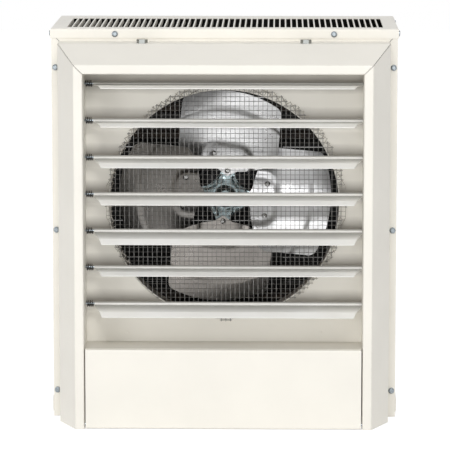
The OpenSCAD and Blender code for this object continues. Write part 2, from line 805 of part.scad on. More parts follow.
module tube(route, r, sides) {
    rings = len(route);
    points = [for (k = [0:rings - 1]) each tube_ring(route, k, r, sides)];
    walls = [for (k = [0:rings - 2]) for (j = [0:sides - 1])
        let (a = k * sides + j, b = k * sides + (j + 1) % sides)
        each [[a, a + sides, b], [b, a + sides, b + sides]]];
    ends = [[for (j = [0:sides - 1]) j], [for (j = [sides - 1:-1:0]) (rings - 1) * sides + j]];
    polyhedron(points, concat(walls, ends));
}

// Least distance between wire surfaces at least half a curl apart
spring_gap = let (
        route = spring_route(),
        n = len(route)
    )
    min([for (a = [0:n - 1]) for (b = [a + spring_rings / 2:1:n - 1])
        norm(route[a] - route[b])]) - spring_wire_r * 2;

module louvre_spring(i) {
    echo(spring_gap = spring_gap);
    color(black) translate([-outlet_half, pivot_y, louvre_z(i)])
        tube(spring_route(), spring_wire_r, spring_sides);
}

// Point of the fan at radius r, s across the arm and n in front of the arm's face
function fan_point(r, s, n, pitch) =
    [s * cos(pitch) - n * sin(pitch), -s * sin(pitch) - n * cos(pitch), r];

function arm_pitch(r) = blade_pitch * ease((r - arm_start) / (arm_flat - arm_start));
function arm_half(r) =
    (r < arm_waist_r
        ? arm_waist_half + (arm_root_half - arm_waist_half)
            * pow((arm_waist_r - r) / (arm_waist_r - arm_start), arm_root_curve)
        : arm_waist_half + (arm_end_half - arm_waist_half) * ease((r - arm_waist_r) / arm_flare))
    - round_off(r - (arm_end - arm_corner), arm_corner);
function arm_bead(r, u) =
    let (
        rib = bead_h * ease(1 - abs(abs(u) - bead_share) / bead_half_share),
        rim = bead_rim_h * ease((abs(u) - bead_share - bead_half_share / 2) / (bead_half_share / 2))
    )
    max(rib, rim) * (1 - ease((r - arm_flat) / bead_fade));

function blade_in(s) = blade_root_r + blade_root_rise * pow(s / blade_half, 2)
    - tongue_l * max(0, 1 - abs(s) / tongue_half)
    + round_off(abs(s) - (blade_half - blade_corner), blade_corner);
function blade_out(s) = sqrt(pow(fan_r, 2) - pow(s * cos(blade_pitch), 2))
    - round_off(abs(s) - (blade_half - blade_corner), blade_corner);
// How far a point of the blade lies outside the pad's rounded outline
function pad_distance(r, s) =
    let (
        side = abs(s) - pad_half + pad_corner,
        out = r - pad_top + pad_corner
    )
    norm([max(side, 0), max(out, 0)]) + min(max(side, out), 0) - pad_corner;
// Height of the blade over its seat: a flat pad, a pressed ridge, a hollow sweep, a step
function blade_lift(r, s) =
    let (reach = pad_distance(r, s))
    ridge_h * ease(reach / ridge_w)
    + camber * pow(s / blade_half, 2) * ease(reach / camber_run)
    + tip_step_h * ease((norm([s * cos(blade_pitch), r]) - tip_step_r) / tip_step_w);

// Closed plate between two grids of points, front and back
module plate(front, back) {
    rows = len(front);
    cols = len(front[0]);
    size = rows * cols;
    skin = [for (i = [0:rows - 2]) for (j = [0:cols - 2])
        let (a = i * cols + j, b = a + 1, c = a + cols + 1, d = a + cols)
        each [[a, c, b], [a, d, c]]];
    rim = concat(
        [for (j = [0:cols - 1]) j],
        [for (i = [1:rows - 1]) i * cols + cols - 1],
        [for (j = [cols - 2:-1:0]) (rows - 1) * cols + j],
        [for (i = [rows - 2:-1:1]) i * cols]);
    edge = [for (k = [0:len(rim) - 1])
        let (a = rim[k], b = rim[(k + 1) % len(rim)])
        each [[b, a + size, a], [b, b + size, a + size]]];
    polyhedron(
        concat([for (row = front) each row], [for (row = back) each row]),
        concat(skin, [for (f = skin) [f[2] + size, f[1] + size, f[0] + size]], edge));
}

module at_arms() {
    translate([0, fan_y, orifice_z]) rotate([0, fan_turn, 0]) children();
}

module rivet_places() {
    rotate([0, 0, -blade_pitch]) for (p = [[0, rivet_in_r], [-rivet_out_s, rivet_out_r],
        [rivet_out_s, rivet_out_r]]) translate([p[0], 0, p[1]]) rotate([90, 0, 0]) children();
}

module fan_spider() {
    radii = [for (i = [0:arm_rows - 1]) arm_start + (arm_end - arm_start) * i / (arm_rows - 1)];
    shares = [for (j = [0:arm_cols - 1]) 2 * j / (arm_cols - 1) - 1];
    color(galvanised) at_arms() difference() {
        union() {
            rotate([-90, 0, 0]) cylinder(r = hub_disc_r, h = arm_t);
            rotate([-90, 0, 0]) cylinder(r = hub_r, h = hub_l);
            rotate([90, 0, 0]) cylinder(r1 = hub_dome_r, r2 = hub_dome_head, h = hub_dome_h);
            for (k = [0:3]) rotate([0, k * 90, 0]) plate(
                [for (r = radii) [for (u = shares)
                    fan_point(r, u * arm_half(r), arm_bead(r, u), arm_pitch(r))]],
                [for (r = radii) [for (u = shares)
                    fan_point(r, u * arm_half(r), arm_bead(r, u) - arm_t, arm_pitch(r))]]);
        }
        rotate([-90, 0, 0]) translate([0, 0, -hub_dome_h - cut])
            cylinder(r = shaft_r + fit, h = hub_dome_h + hub_l + cut * 2);
        for (k = [0:3]) rotate([0, k * 90, 0]) rivet_places()
            translate([0, 0, -arm_t - cut]) cylinder(r = rivet_r + fit, h = arm_t + cut * 2);
        // Tapped hole for the set screw
        translate([0, (arm_t + hub_l) / 2, 0]) cylinder(r = set_screw_r + fit, h = hub_r + cut);
    }
}

module fan_blade(k) {
    across = [for (j = [0:blade_cols - 1]) blade_half * sin(180 * j / (blade_cols - 1) - 90)];
    steps = [for (i = [0:blade_rows - 1]) i / (blade_rows - 1)];
    function reach(s, share) = blade_in(s) + (blade_out(s) - blade_in(s)) * share;
    color(aluminium) at_arms() rotate([0, k * 90, 0]) difference() {
        plate(
            [for (m = steps) [for (s = across) let (r = reach(s, m))
                fan_point(r, s, blade_lift(r, s) + blade_t, blade_pitch)]],
            [for (m = steps) [for (s = across) let (r = reach(s, m))
                fan_point(r, s, blade_lift(r, s), blade_pitch)]]);
        rivet_places() translate([0, 0, -cut]) cylinder(r = rivet_r + fit, h = blade_t + cut * 2);
        // Flat seat under each rivet head
        rivet_places() translate([0, 0, blade_t])
            cylinder(r = rivet_head_r + fit, h = ridge_h + rivet_head_h);
    }
}

module fan_rivets() {
    color(zinc) at_arms() for (k = [0:3]) rotate([0, k * 90, 0]) rivet_places()
        rotate_extrude() polygon(concat(
            [[0, -arm_t - rivet_tail_h], [rivet_tail_r, -arm_t - rivet_tail_h],
            [rivet_tail_r, -arm_t], [rivet_r, -arm_t], [rivet_r, blade_t]],
            [for (a = [0:15:90]) [rivet_head_r * cos(a), blade_t + rivet_head_h * sin(a)]]));
}

module fan_set_screw() {
    color(black) at_arms() translate([0, (arm_t + hub_l) / 2, shaft_r]) difference() {
        cylinder(r = set_screw_r, h = set_screw_l);
        translate([0, 0, set_screw_l - set_screw_r])
            cylinder(r = set_screw_r / 2, h = set_screw_r + cut, $fn = 6);
    }
}

module motor_shaft() {
    color(zinc) translate([0, 0, orifice_z])
        hole_y(fan_y - hub_dome_h - shaft_proud, motor_rear - bell_wall, shaft_r);
}

module motor_rotor() {
    color(dark_steel) translate([0, 0, orifice_z]) difference() {
        hole_y(stator_y + rotor_gap, stator_rear - rotor_gap, rotor_r - rotor_gap);
        hole_y(stator_y, stator_rear, shaft_r + fit);
    }
}

module motor_stator() {
    color(dark_steel) translate([0, 0, orifice_z]) difference() {
        hole_y(stator_y, stator_rear, motor_r);
        hole_y(stator_y - cut, stator_rear + cut, rotor_r);
    }
}

// End bell from y = 0 (against the stator) outwards to bell_l, along +Z here
module end_bell(bored) {
    r = motor_r - stator_band;
    difference() {
        rotate_extrude() polygon([
            [0, bell_l - bell_wall - bell_boss_h], [rotor_r, bell_l - bell_wall - bell_boss_h],
            [r - bell_wall, 0], [r, 0], [r, bell_l / 2], [bell_face_r, bell_l - bell_boss_h],
            [bell_boss_r, bell_l - bell_boss_h], [bell_boss_r - bell_boss_h, bell_l],
            [0, bell_l]]);
        translate([0, 0, bored ? -cut : bell_l - bell_wall - bell_boss_h - cut])
            cylinder(r = shaft_r + fit, h = bored ? bell_l + cut * 2 : bell_boss_h + cut + fit * 2);
        for (k = [0.5:1:bell_vents]) rotate(k * 360 / bell_vents)
            translate([vent_circle_r, 0, 0]) cylinder(r = bell_vent_r, h = bell_l + cut);
    }
}

module motor_front_bell() {
    color(zinc) translate([0, stator_y, orifice_z]) rotate([90, 0, 0]) end_bell(true);
}

module stud_places() {
    translate([0, motor_rear, orifice_z]) for (a = [45:90:315]) rotate([0, a, 0])
        translate([0, 0, stud_circle]) children();
}

module motor_rear_bell() {
    color(zinc) difference() {
        translate([0, stator_rear, orifice_z]) rotate([-90, 0, 0]) end_bell(false);
        stud_places() hole_y(-stud_seat, cut, stud_r + fit);
    }
}

// Studs that stand in the rear bell, each with the nut that holds the motor bar
module motor_studs() {
    color(zinc) stud_places() {
        hole_y(-stud_seat, bar_t + stud_nut_h + stud_r, stud_r);
        translate([0, bar_t, 0]) rotate([-90, 0, 0])
            cylinder(r = stud_nut_af / sqrt(3), h = stud_nut_h, $fn = 6);
    }
}

module motor_bar() {
    color(galvanised) {
        difference() {
            translate([0, 0, orifice_z]) along_x(-inner_x, inner_x) polygon(sheet_outline([
                [motor_rear + bar_flange, bar_h / 2], [motor_rear, bar_h / 2],
                [motor_rear, -bar_h / 2], [motor_rear + bar_flange, -bar_h / 2]], t = bar_t));
            stud_places() hole_y(-cut, bar_t + cut, stud_r + fit);
        }
        // Ends folded back against the side panels
        translate([0, 0, orifice_z]) both_sides()
            block([inner_x - bar_t, motor_rear + bar_t / 2, -bar_h / 2 + bar_flange],
                [inner_x, rear_y - flange_w - bar_end_gap, bar_h / 2 - bar_flange]);
    }
}

module heating_elements() {
    color(dark_steel) for (dz = row_signs) translate([0, leg_front_y, orifice_z + dz]) {
        for (y = [0, leg_pitch]) translate([0, y, 0]) {
            hole_x(-leg_start, leg_bend, tube_r);
            hole_x(-leg_start - terminal_l, -leg_start, terminal_r);
        }
        translate([leg_bend, leg_pitch / 2, 0]) rotate([0, 0, -90]) rotate_extrude(angle = 180)
            translate([leg_pitch / 2, 0]) circle(r = tube_r);
    }
}

// Row of fins on one leg, turned as one comb
module fin_comb() {
    n = floor(fin_end * 2 / fin_pitch);
    start = -n * fin_pitch / 2;
    core = tube_r + fin_collar;
    hole_r = tube_r + fit;
    rotate([0, 90, 0]) rotate_extrude($fn = 32) polygon(concat(
        [[hole_r, start]],
        [for (k = [0:n - 1]) let (z = start + k * fin_pitch)
            each [[k == 0 ? fin_r : core, z], [fin_r, z], [fin_r, z + fin_t], [core, z + fin_t]]],
        [[core, -start], [hole_r, -start]]));
}

module element_fins() {
    color(dark_steel) for (dz = row_signs) for (y = [0, leg_pitch])
        translate([0, leg_front_y + y, orifice_z + dz]) fin_comb();
}

module element_brackets() {
    front = leg_front_y - bracket_margin;
    back = leg_front_y + leg_pitch + bracket_margin;
    top = orifice_z + row_start + row_pitch * 2 + bracket_margin;
    color(galvanised) both_sides() difference() {
        along_y(front, back) polygon(sheet_outline([
            [bracket_x - flange_w, divider_top], [bracket_x, divider_top], [bracket_x, top]]));
        for (dz = row_signs) for (y = [0, leg_pitch])
            translate([0, leg_front_y + y, orifice_z + dz])
                hole_x(bracket_x - sheet_t - cut, bracket_x + cut, tube_r + fit);
    }
}

module limit_switch() {
    translate([-bracket_x, leg_front_y + leg_pitch / 2, orifice_z]) {
        color(zinc) hole_x(-limit_tab_t, 0, limit_flange_r);
        color(black) hole_x(-limit_tab_t - limit_h, -limit_tab_t, limit_r);
        color(zinc) for (y = [-limit_r / 2, limit_r / 2])
            block([-limit_tab_t - limit_h - limit_tab_h, y - limit_tab_t / 2, -limit_tab_w / 2],
                [-limit_tab_t - limit_h, y + limit_tab_t / 2, limit_tab_w / 2]);
    }
}

module contactor() {
    w = contactor_w;
    d = contactor_d;
    h = contactor_base_h;
    z = contactor_cell_z;
    inner = contactor_coil_d / 2 + device_foot_t;
    translate([contactor_x, devices_y, floor_top]) {
        color(black) difference() {
            union() {
                block([-w / 2 - device_foot, -d / 2 + device_foot, 0],
                    [w / 2 + device_foot, d / 2 - device_foot, device_foot_t]);
                block([-w / 2, -d / 2, 0], [w / 2, d / 2, h]);
                block([-w / 2, -contactor_coil_d / 2, h - device_foot_t],
                    [w / 2, contactor_coil_d / 2, contactor_h]);
            }
            // Open terminal cells at the front and the back
            for (k = [-1, 0, 1]) translate([k * contactor_cell_pitch, 0, 0]) {
                block([-contactor_cell_w / 2, inner, z], [contactor_cell_w / 2, d / 2 + cut, h + cut]);
                block([-contactor_cell_w / 2, -d / 2 - cut, z], [contactor_cell_w / 2, -inner, h + cut]);
            }
        }
        color(zinc) for (side = [-1, 1]) for (k = [-1, 0, 1])
            translate([k * contactor_cell_pitch, side * (d / 2 - contactor_screw_in), z])
                cylinder(r = device_screw_r, h = device_screw_h);
    }
}

module transformer() {
    w = transformer_w;
    d = transformer_d;
    h = transformer_h;
    core_half = d / 4;
    translate([transformer_x, devices_y, floor_top]) {
        color(dark_steel) {
            block([-w / 2, -core_half, 0], [w / 2, core_half, h]);
            block([-w / 2 - device_foot, -core_half, 0], [w / 2 + device_foot, core_half, device_foot_t]);
        }
        // Windings in front of the core and behind it
        color(copper) for (side = [0, 180]) rotate(side)
            block([-w / 4, core_half, h / 6], [w / 4, d / 2, h * 5 / 6]);
    }
}

module terminal_block() {
    w = block_w;
    d = block_d;
    h = block_h;
    wall = device_foot_t;
    cell = (w - wall) / 4;
    translate([block_x - w / 2, devices_y - d / 2, floor_top]) {
        color(black) difference() {
            block([0, -d / 2, 0], [w, d / 2, h]);
            for (k = [0:3]) translate([k * cell, 0, 0])
                block([wall, -d / 2 - cut, h / 2], [cell, d / 2 + cut, h + cut]);
        }
        color(zinc) for (k = [0:3]) for (y = [-d / 4, d / 4])
            translate([wall / 2 + (k + 0.5) * cell, y, h / 2])
                cylinder(r = device_screw_r, h = device_screw_h);
    }
}

module ground_lug() {
    size = device_foot;
    color(copper) translate([lug_x, devices_y - block_d / 2, floor_top]) difference() {
        union() {
            block([-size / 2, -size, 0], [size / 2, size, device_foot_t]);
            block([-size / 2, -size / 2, 0], [size / 2, size, size]);
        }
        translate([0, 0, size / 2 + device_foot_t / 2]) hole_y(-size, size + cut, size / 4);
    }
}

module frame_screws() {
    color(zinc) both_sides() for (z = strip_screw_zs())
        translate([frame_half + strip_w / 2, cab_y, z]) rotate([90, 0, 0]) pan_screw();
}

module cover_screws() {
    color(zinc) both_sides() {
        translate([cover_screw_w / 2, cab_y - sheet_t, cover_z - cover_screw_drop])
            rotate([90, 0, 0]) pan_screw();
        for (y = [cab_y + cover_screw_front, rear_y - cover_screw_back])
            translate([cover_x, y, cover_z - cover_screw_drop]) rotate([0, 90, 0]) pan_screw();
    }
}

module rear_panel_screws() {
    color(zinc) both_sides() for (z = rear_screw_zs)
        translate([side_x, rear_y - rear_screw_in, z]) rotate([0, 90, 0]) pan_screw();
}

// Hex bolt with a chamfered head, head up on z = 0
module hex_bolt() {
    corner = bolt_af / sqrt(3);
    intersection() {
        cylinder(r = corner, h = bolt_head_h, $fn = 6);
        cylinder(r1 = corner + bolt_head_h, r2 = bolt_af / 2 - cut / 2, h = bolt_head_h + cut);
    }
    translate([0, 0, -bolt_l]) cylinder(r = bolt_r, h = bolt_l);
}

module hanger_bolts() {
    color(zinc) both_sides() translate([hanger_w / 2, front_y + hanger_d, frame_top]) hex_bolt();
}

module hanger_nuts() {
    color(zinc) both_sides() translate([hanger_w / 2, front_y + hanger_d, frame_top - sheet_t - nut_h])
        difference() {
            cylinder(r = bolt_af / sqrt(3), h = nut_h, $fn = 6);
            translate([0, 0, -cut]) cylinder(r = bolt_r + fit, h = nut_h + cut * 2);
        }
}

left_side_panel();
right_side_panel();
bottom_pan();
door_sill();
top_cover();
rear_panel();
left_post();
right_post();
top_trim();
orifice_panel();
orifice_ring();
mesh_guard();
shelf();
compartment_divider();
access_door();
door_hinge_pins();
door_catches();
for (i = [0:louvre_n - 1]) louvre(i);
for (i = [0:louvre_n - 1]) louvre_spring(i);
louvre_rods();
fan_spider();
for (k = [0:3]) fan_blade(k);
fan_rivets();
fan_set_screw();
motor_shaft();
motor_rotor();
motor_stator();
motor_front_bell();
motor_rear_bell();
motor_studs();
motor_bar();
heating_elements();
element_fins();
element_brackets();
limit_switch();
contactor();
transformer();
terminal_block();
ground_lug();
frame_screws();
cover_screws();
rear_panel_screws();
hanger_bolts();
hanger_nuts();
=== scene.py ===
import math

import bmesh
import bpy
from mathutils import Matrix, Vector


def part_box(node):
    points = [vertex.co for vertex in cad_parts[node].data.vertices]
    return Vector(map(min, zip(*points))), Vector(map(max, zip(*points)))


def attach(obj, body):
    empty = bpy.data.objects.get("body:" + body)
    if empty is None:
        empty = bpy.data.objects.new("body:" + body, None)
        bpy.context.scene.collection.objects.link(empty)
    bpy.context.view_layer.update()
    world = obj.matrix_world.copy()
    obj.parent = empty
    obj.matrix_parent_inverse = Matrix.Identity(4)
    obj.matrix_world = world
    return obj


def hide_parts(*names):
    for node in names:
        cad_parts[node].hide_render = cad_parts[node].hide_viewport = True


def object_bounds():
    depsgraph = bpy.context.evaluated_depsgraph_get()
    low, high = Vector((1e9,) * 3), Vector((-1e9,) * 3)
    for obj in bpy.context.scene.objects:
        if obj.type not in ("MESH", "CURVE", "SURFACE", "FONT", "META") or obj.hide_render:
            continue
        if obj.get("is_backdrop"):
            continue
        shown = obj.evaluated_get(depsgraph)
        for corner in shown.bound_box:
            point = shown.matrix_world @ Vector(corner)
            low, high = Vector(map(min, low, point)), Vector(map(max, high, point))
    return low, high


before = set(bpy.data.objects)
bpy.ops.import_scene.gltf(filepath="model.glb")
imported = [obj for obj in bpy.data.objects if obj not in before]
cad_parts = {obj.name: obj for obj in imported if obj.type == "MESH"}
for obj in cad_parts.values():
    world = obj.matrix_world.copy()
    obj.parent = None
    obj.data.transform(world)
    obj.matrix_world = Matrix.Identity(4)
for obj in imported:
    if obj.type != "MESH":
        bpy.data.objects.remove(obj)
cad_low, cad_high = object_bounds()

# ---- Cabinet sheets
# Side panels, bottom pan, vented cover and rear panel, folded from 1.2 mm steel and screwed
# together. Almond powder coat outside, and near-black around the air chamber as painted shade of
# its unlit inside.
MM = 0.001
ALMOND = (0.885, 0.855, 0.782)
# a darker copy of the almond for the side panels, pan and rear: painted shade
CABINET_SHADED_ALMOND = (0.77, 0.738, 0.665)
BARE_EDGE = (0.55, 0.53, 0.49)        # where handling has rubbed the coat thin
# near-black: painted shade of the unlit air chamber
CHAMBER_SHADE = (0.012, 0.011, 0.010)
COAT_ROUGHNESS = 0.40
COAT_CLOUDS = 9.0                     # broad uneven patches of the coat, per metre
COAT_SHADE = 0.955                    # how far those patches darken it
RUB_MARKS = 85.0                      # rubbed spots along the edges, per metre
PEEL_SCALE = 620                      # lumps of the coat's orange peel, per metre
PEEL_DEPTH = 0.05 * MM
EDGE_ROUND = 0.7 * MM

# Air chamber, inside the middle of the sheets around it
CHAMBER_HALF = 237.9 * MM
CHAMBER_REAR = 149.4 * MM
CHAMBER_FLOOR = 105.6 * MM
CHAMBER_TOP = 542.9 * MM
CABINET_FRONT = -61.0 * MM


class Finish:
    """A surface finish: a principled shader, and the nodes that vary it over the metal."""

    def __init__(self, name, colour, metallic, roughness):
        self.material = bpy.data.materials.new(name)
        self.material.use_nodes = True
        self.tree = self.material.node_tree
        self.shader = self.tree.nodes["Principled BSDF"]
        self.shader.inputs["Base Color"].default_value = (*colour, 1)
        self.shader.inputs["Metallic"].default_value = metallic
        self.shader.inputs["Roughness"].default_value = roughness
        self.place = self.node("ShaderNodeTexCoord").outputs["Object"]

    def set(self, socket, value):
        if isinstance(value, bpy.types.NodeSocket):
            self.tree.links.new(value, socket)
        elif value is not None:
            socket.default_value = value

    def node(self, kind, settings=None, **inputs):
        made = self.tree.nodes.new(kind)
        for key, value in (settings or {}).items():
            setattr(made, key, value)
        for key, value in inputs.items():
            self.set(made.inputs[key.replace("_", " ")], value)
        return made

    def stretched(self, factors):
        scaled = self.node("ShaderNodeVectorMath", {"operation": "MULTIPLY"})
        self.set(scaled.inputs[0], self.place)
        self.set(scaled.inputs[1], factors)
        return scaled.outputs[0]

    def noise(self, scale, detail=2.0, factors=None):
        place = self.stretched(factors) if factors else self.place
        return self.node("ShaderNodeTexNoise", Vector=place, Scale=scale, Detail=detail).outputs[0]

    def spread(self, value, low, high, out_low, out_high):
        """Maps value from low..high to out_low..out_high, and holds it there."""
        return self.node("ShaderNodeMapRange", Value=value, From_Min=low, From_Max=high,
                         To_Min=out_low, To_Max=out_high).outputs[0]

    def math(self, operation, a, b):
        made = self.node("ShaderNodeMath", {"operation": operation})
        self.set(made.inputs[0], a)
        self.set(made.inputs[1], b)
        return made.outputs[0]

    def mixed(self, share, a, b):
        """Colour a, turning into b as share goes from 0 to 1."""
        made = self.node("ShaderNodeMix", {"data_type": "RGBA"})
        for index, value in ((0, share), (6, a), (7, b)):
            if isinstance(value, tuple):
                value = (*value, 1)
            self.set(made.inputs[index], value)
        return made.outputs[2]

    def colour(self, value):
        self.set(self.shader.inputs["Base Color"], value)

    def roughness(self, value):
        self.set(self.shader.inputs["Roughness"], value)

    def rounded_edges(self, radius):
        """Rounds the light over sheet edges. Returns that normal and a mask of the edges."""
        bevel = self.node("ShaderNodeBevel", {"samples": 4}, Radius=radius).outputs[0]
        true = self.node("ShaderNodeNewGeometry").outputs["Normal"]
        turned = self.node("ShaderNodeVectorMath", {"operation": "DOT_PRODUCT"})
        self.set(turned.inputs[0], bevel)
        self.set(turned.inputs[1], true)
        return bevel, self.spread(turned.outputs["Value"], 0.985, 0.86, 0.0, 1.0)

    def bump(self, height, depth, normal=None):
        made = self.node("ShaderNodeBump", Height=height, Distance=depth, Strength=1.0)
        self.set(made.inputs["Normal"], normal)
        self.set(self.shader.inputs["Normal"], made.outputs[0])
        return made.outputs[0]


def powder_coat(name, colour, chamber_from=None, painted_shade=None):
    """Powder coat. Behind chamber_from, the air chamber's faces are painted near-black as its
    shade.
    The last argument, if given, is a function that paints shade onto a finish's tone."""
    coat = Finish(name, colour, 0.0, COAT_ROUGHNESS)
    shade = tuple(c * COAT_SHADE for c in colour)
    clouds = coat.spread(coat.noise(COAT_CLOUDS, 4.0), 0.35, 0.68, 0.0, 1.0)
    tone = coat.mixed(clouds, shade, colour)
    normal, edge = coat.rounded_edges(EDGE_ROUND)
    marks = coat.spread(coat.noise(RUB_MARKS, 4.0), 0.60, 0.72, 0.0, 0.55)
    tone = coat.mixed(coat.math("MULTIPLY", edge, marks), tone, BARE_EDGE)
    # paints shade onto the tone, when a function for it is given
    if painted_shade is not None:
        tone = painted_shade(coat, tone)
    # The faces inside the air chamber are painted near-black as its shade.
    if chamber_from is not None:
        x, y, z = coat.node("ShaderNodeSeparateXYZ", Vector=coat.place).outputs
        inside = coat.math("LESS_THAN", coat.math("ABSOLUTE", x, 0.0), CHAMBER_HALF)
        for side, axis, limit in (("GREATER_THAN", y, chamber_from),
                                  ("LESS_THAN", y, CHAMBER_REAR),
                                  ("GREATER_THAN", z, CHAMBER_FLOOR),
                                  ("LESS_THAN", z, CHAMBER_TOP)):
            inside = coat.math("MULTIPLY", inside, coat.math(side, axis, limit))
        tone = coat.mixed(inside, tone, CHAMBER_SHADE)
    coat.colour(tone)
    coat.roughness(coat.spread(coat.noise(30.0, 3.0), 0.3, 0.7,
                               COAT_ROUGHNESS - 0.05, COAT_ROUGHNESS + 0.07))
    coat.bump(coat.noise(PEEL_SCALE, 2.0), PEEL_DEPTH, normal)
    return coat.material


def finish_nodes(material, *names):
    """Gives solids of the frame their finish, in every slot they have."""
    for name in names:
        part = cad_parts[name]
        if part.material_slots:
            for entry in part.material_slots:
                entry.material = material
        else:
            part.data.materials.append(material)


finish_nodes(powder_coat("cabinet_coat", CABINET_SHADED_ALMOND, CABINET_FRONT), "left_side_panel",
             "right_side_panel", "bottom_pan", "rear_panel", "compartment_divider")
finish_nodes(powder_coat("cover_coat", ALMOND), "top_cover")

# ---- Bevelled front frame
# Two posts and a top trim, each folded from one strip of steel and mitred at the upper
# corners, with a sill and a shelf between the posts. Same powder coat, painted darker on the shelf
# as the shade it lies in.
# a darker copy of the almond for the shelf: painted shade
SHELF_SHADED_ALMOND = (0.68, 0.65, 0.58)
finish_nodes(powder_coat("frame_coat", ALMOND), "left_post", "right_post", "top_trim",
             "door_sill")
finish_nodes(powder_coat("shelf_coat", SHELF_SHADED_ALMOND), "shelf")

# ---- Orifice panel and ring
# The recessed panel carries the fan's round opening. The ring behind it is spun steel with a
# rolled rim, almond on its front edge, and painted dark brown behind it as the shade inside the
# throat.
ORIFICE_LEVEL = 302.5 * MM
# a lighter copy of the almond: painted light, seen most below the lowest louvre
PANEL_LIT_ALMOND = (0.94, 0.91, 0.835)
CHAMBER_SHADE_SKIN = 0.3 * MM                # the painted chamber shade covers this much of the panel's rear
# colour of the painted shadow bands behind the louvres
LOUVRE_SHADOW_TONE = (0.30, 0.28, 0.245)
OUTLET_DARKENING = 0.90                      # darkening of the tone over the whole outlet
OUTLET_DARKEN_SHARE, OUTLET_DARKEN_FADE = 0.75, 14 * MM
SHADOW_BAND_HALF = 17 * MM                   # half width of the painted shadow band behind each louvre
SHADOW_BAND_RAGGED = 0.8 * MM
TOP_LOUVRE, LOW_LOUVRE, LOUVRE_PITCH = 472.5 * MM, 167.7 * MM, 50.8 * MM
RING_EDGE, RING_FADE = 1.6 * MM, 0.8 * MM         # coated front of the ring
# painted shade inside the ring's throat, in two depths
RING_SHADE, RING_DEEP_SHADE = (0.20, 0.17, 0.14), (0.11, 0.09, 0.075)


def outlet_painted_shade(coat, tone):
    """Darker over the outlet above the lowest louvre, with a painted shadow band level with each
    louvre.
    """
    level = coat.node("ShaderNodeSeparateXYZ", Vector=coat.place).outputs[2]
    outlet_share = coat.spread(level, LOW_LOUVRE - OUTLET_DARKEN_FADE, LOW_LOUVRE, 0.0, OUTLET_DARKEN_SHARE)
    tone = coat.mixed(outlet_share, tone, tuple(c * OUTLET_DARKENING for c in PANEL_LIT_ALMOND))
    # painted shadow band, level with each louvre
    within = coat.math("MAXIMUM", level, LOW_LOUVRE)
    off = coat.math("PINGPONG", coat.math("SUBTRACT", within, TOP_LOUVRE), LOUVRE_PITCH / 2)
    off = coat.math("ADD", off, coat.math("SUBTRACT", within, level))
    ragged = coat.math("ADD", off, coat.spread(coat.noise(25.0, 3.0), 0.3, 0.7,
                                               -SHADOW_BAND_RAGGED, SHADOW_BAND_RAGGED))
    return coat.mixed(coat.spread(ragged, SHADOW_BAND_HALF * 0.1, SHADOW_BAND_HALF, 1.0, 0.0), tone, LOUVRE_SHADOW_TONE)


panel_low, panel_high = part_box("orifice_panel")
finish_nodes(powder_coat("panel_coat", PANEL_LIT_ALMOND, panel_high.y - CHAMBER_SHADE_SKIN, outlet_painted_shade),
             "orifice_panel")
ring = Finish("ring_coat", RING_SHADE, 0.0, 0.5)
ring_depth = ring.node("ShaderNodeSeparateXYZ", Vector=ring.place).outputs[1]
ring_front = ring.spread(ring_depth, panel_low.y + RING_EDGE,
                         panel_low.y + RING_EDGE + RING_FADE, 1.0, 0.0)
ring_mottle = ring.spread(ring.noise(60.0, 4.0), 0.35, 0.7, 0.0, 1.0)
# Behind its almond front edge the ring is painted dark brown as the shade in the throat, mottled
# in two depths.
ring.colour(ring.mixed(ring_front, ring.mixed(ring_mottle, RING_DEEP_SHADE, RING_SHADE), ALMOND))
finish_nodes(ring.material, "orifice_ring")

# ---- Wire mesh guard
# A disc cut from 6.35 mm woven and galvanised hardware cloth, held in front of the opening.
# Its cut edge is folded back over it in flaps around the top and the sides.
MESH_PITCH = 6.35 * MM
MESH_WIRE = 0.37 * MM                 # radius
MESH_SIDES = 5
MESH_DISC = 165.5 * MM
MESH_STUB = 1.9 * MM                  # wire past the last crossing
MESH_CENTRE = Vector((2.5 * MM, panel_low.y - 1.0 * MM, 306.0 * MM))
MESH_TONE = (0.27, 0.265, 0.255)
HEM_FOLD, HEM_DEPTH, HEM_LIFT = 165.0 * MM, 8.5 * MM, 0.95 * MM
# the hem's zinc is lighter than the cloth's: painted light on the folded wires
HEM_LIT_TONE = (0.46, 0.43, 0.38)
HEM_FLAPS = 24                        # in a full turn, counted from the right
HEM_FIRST, HEM_LAST = -3, 14
HEM_LEAST = 1.2 * MM                  # shorter ends of wire fell off when it was cut
WIRE_CREASE = 70.0


def galvanised(name, colour, roughness, spangle=110.0, contrast=0.16):
    """Zinc with its crystal pattern, so many crystals to the metre."""
    coat = Finish(name, colour, 1.0, roughness)
    cells = coat.node("ShaderNodeTexVoronoi", Vector=coat.place, Scale=spangle).outputs["Color"]
    share = coat.node("ShaderNodeSeparateColor", Color=cells).outputs[0]
    dull = tuple(c * (1 - contrast * 2) for c in colour)
    coat.colour(coat.mixed(share, dull, colour))
    cut = coat.spread(share, 0.0, 1.0, roughness - 0.07, roughness + 0.07)
    grain = coat.spread(coat.noise(400.0), 0.3, 0.7, -0.04, 0.04)
    coat.roughness(coat.math("ADD", cut, grain))
    return coat.material


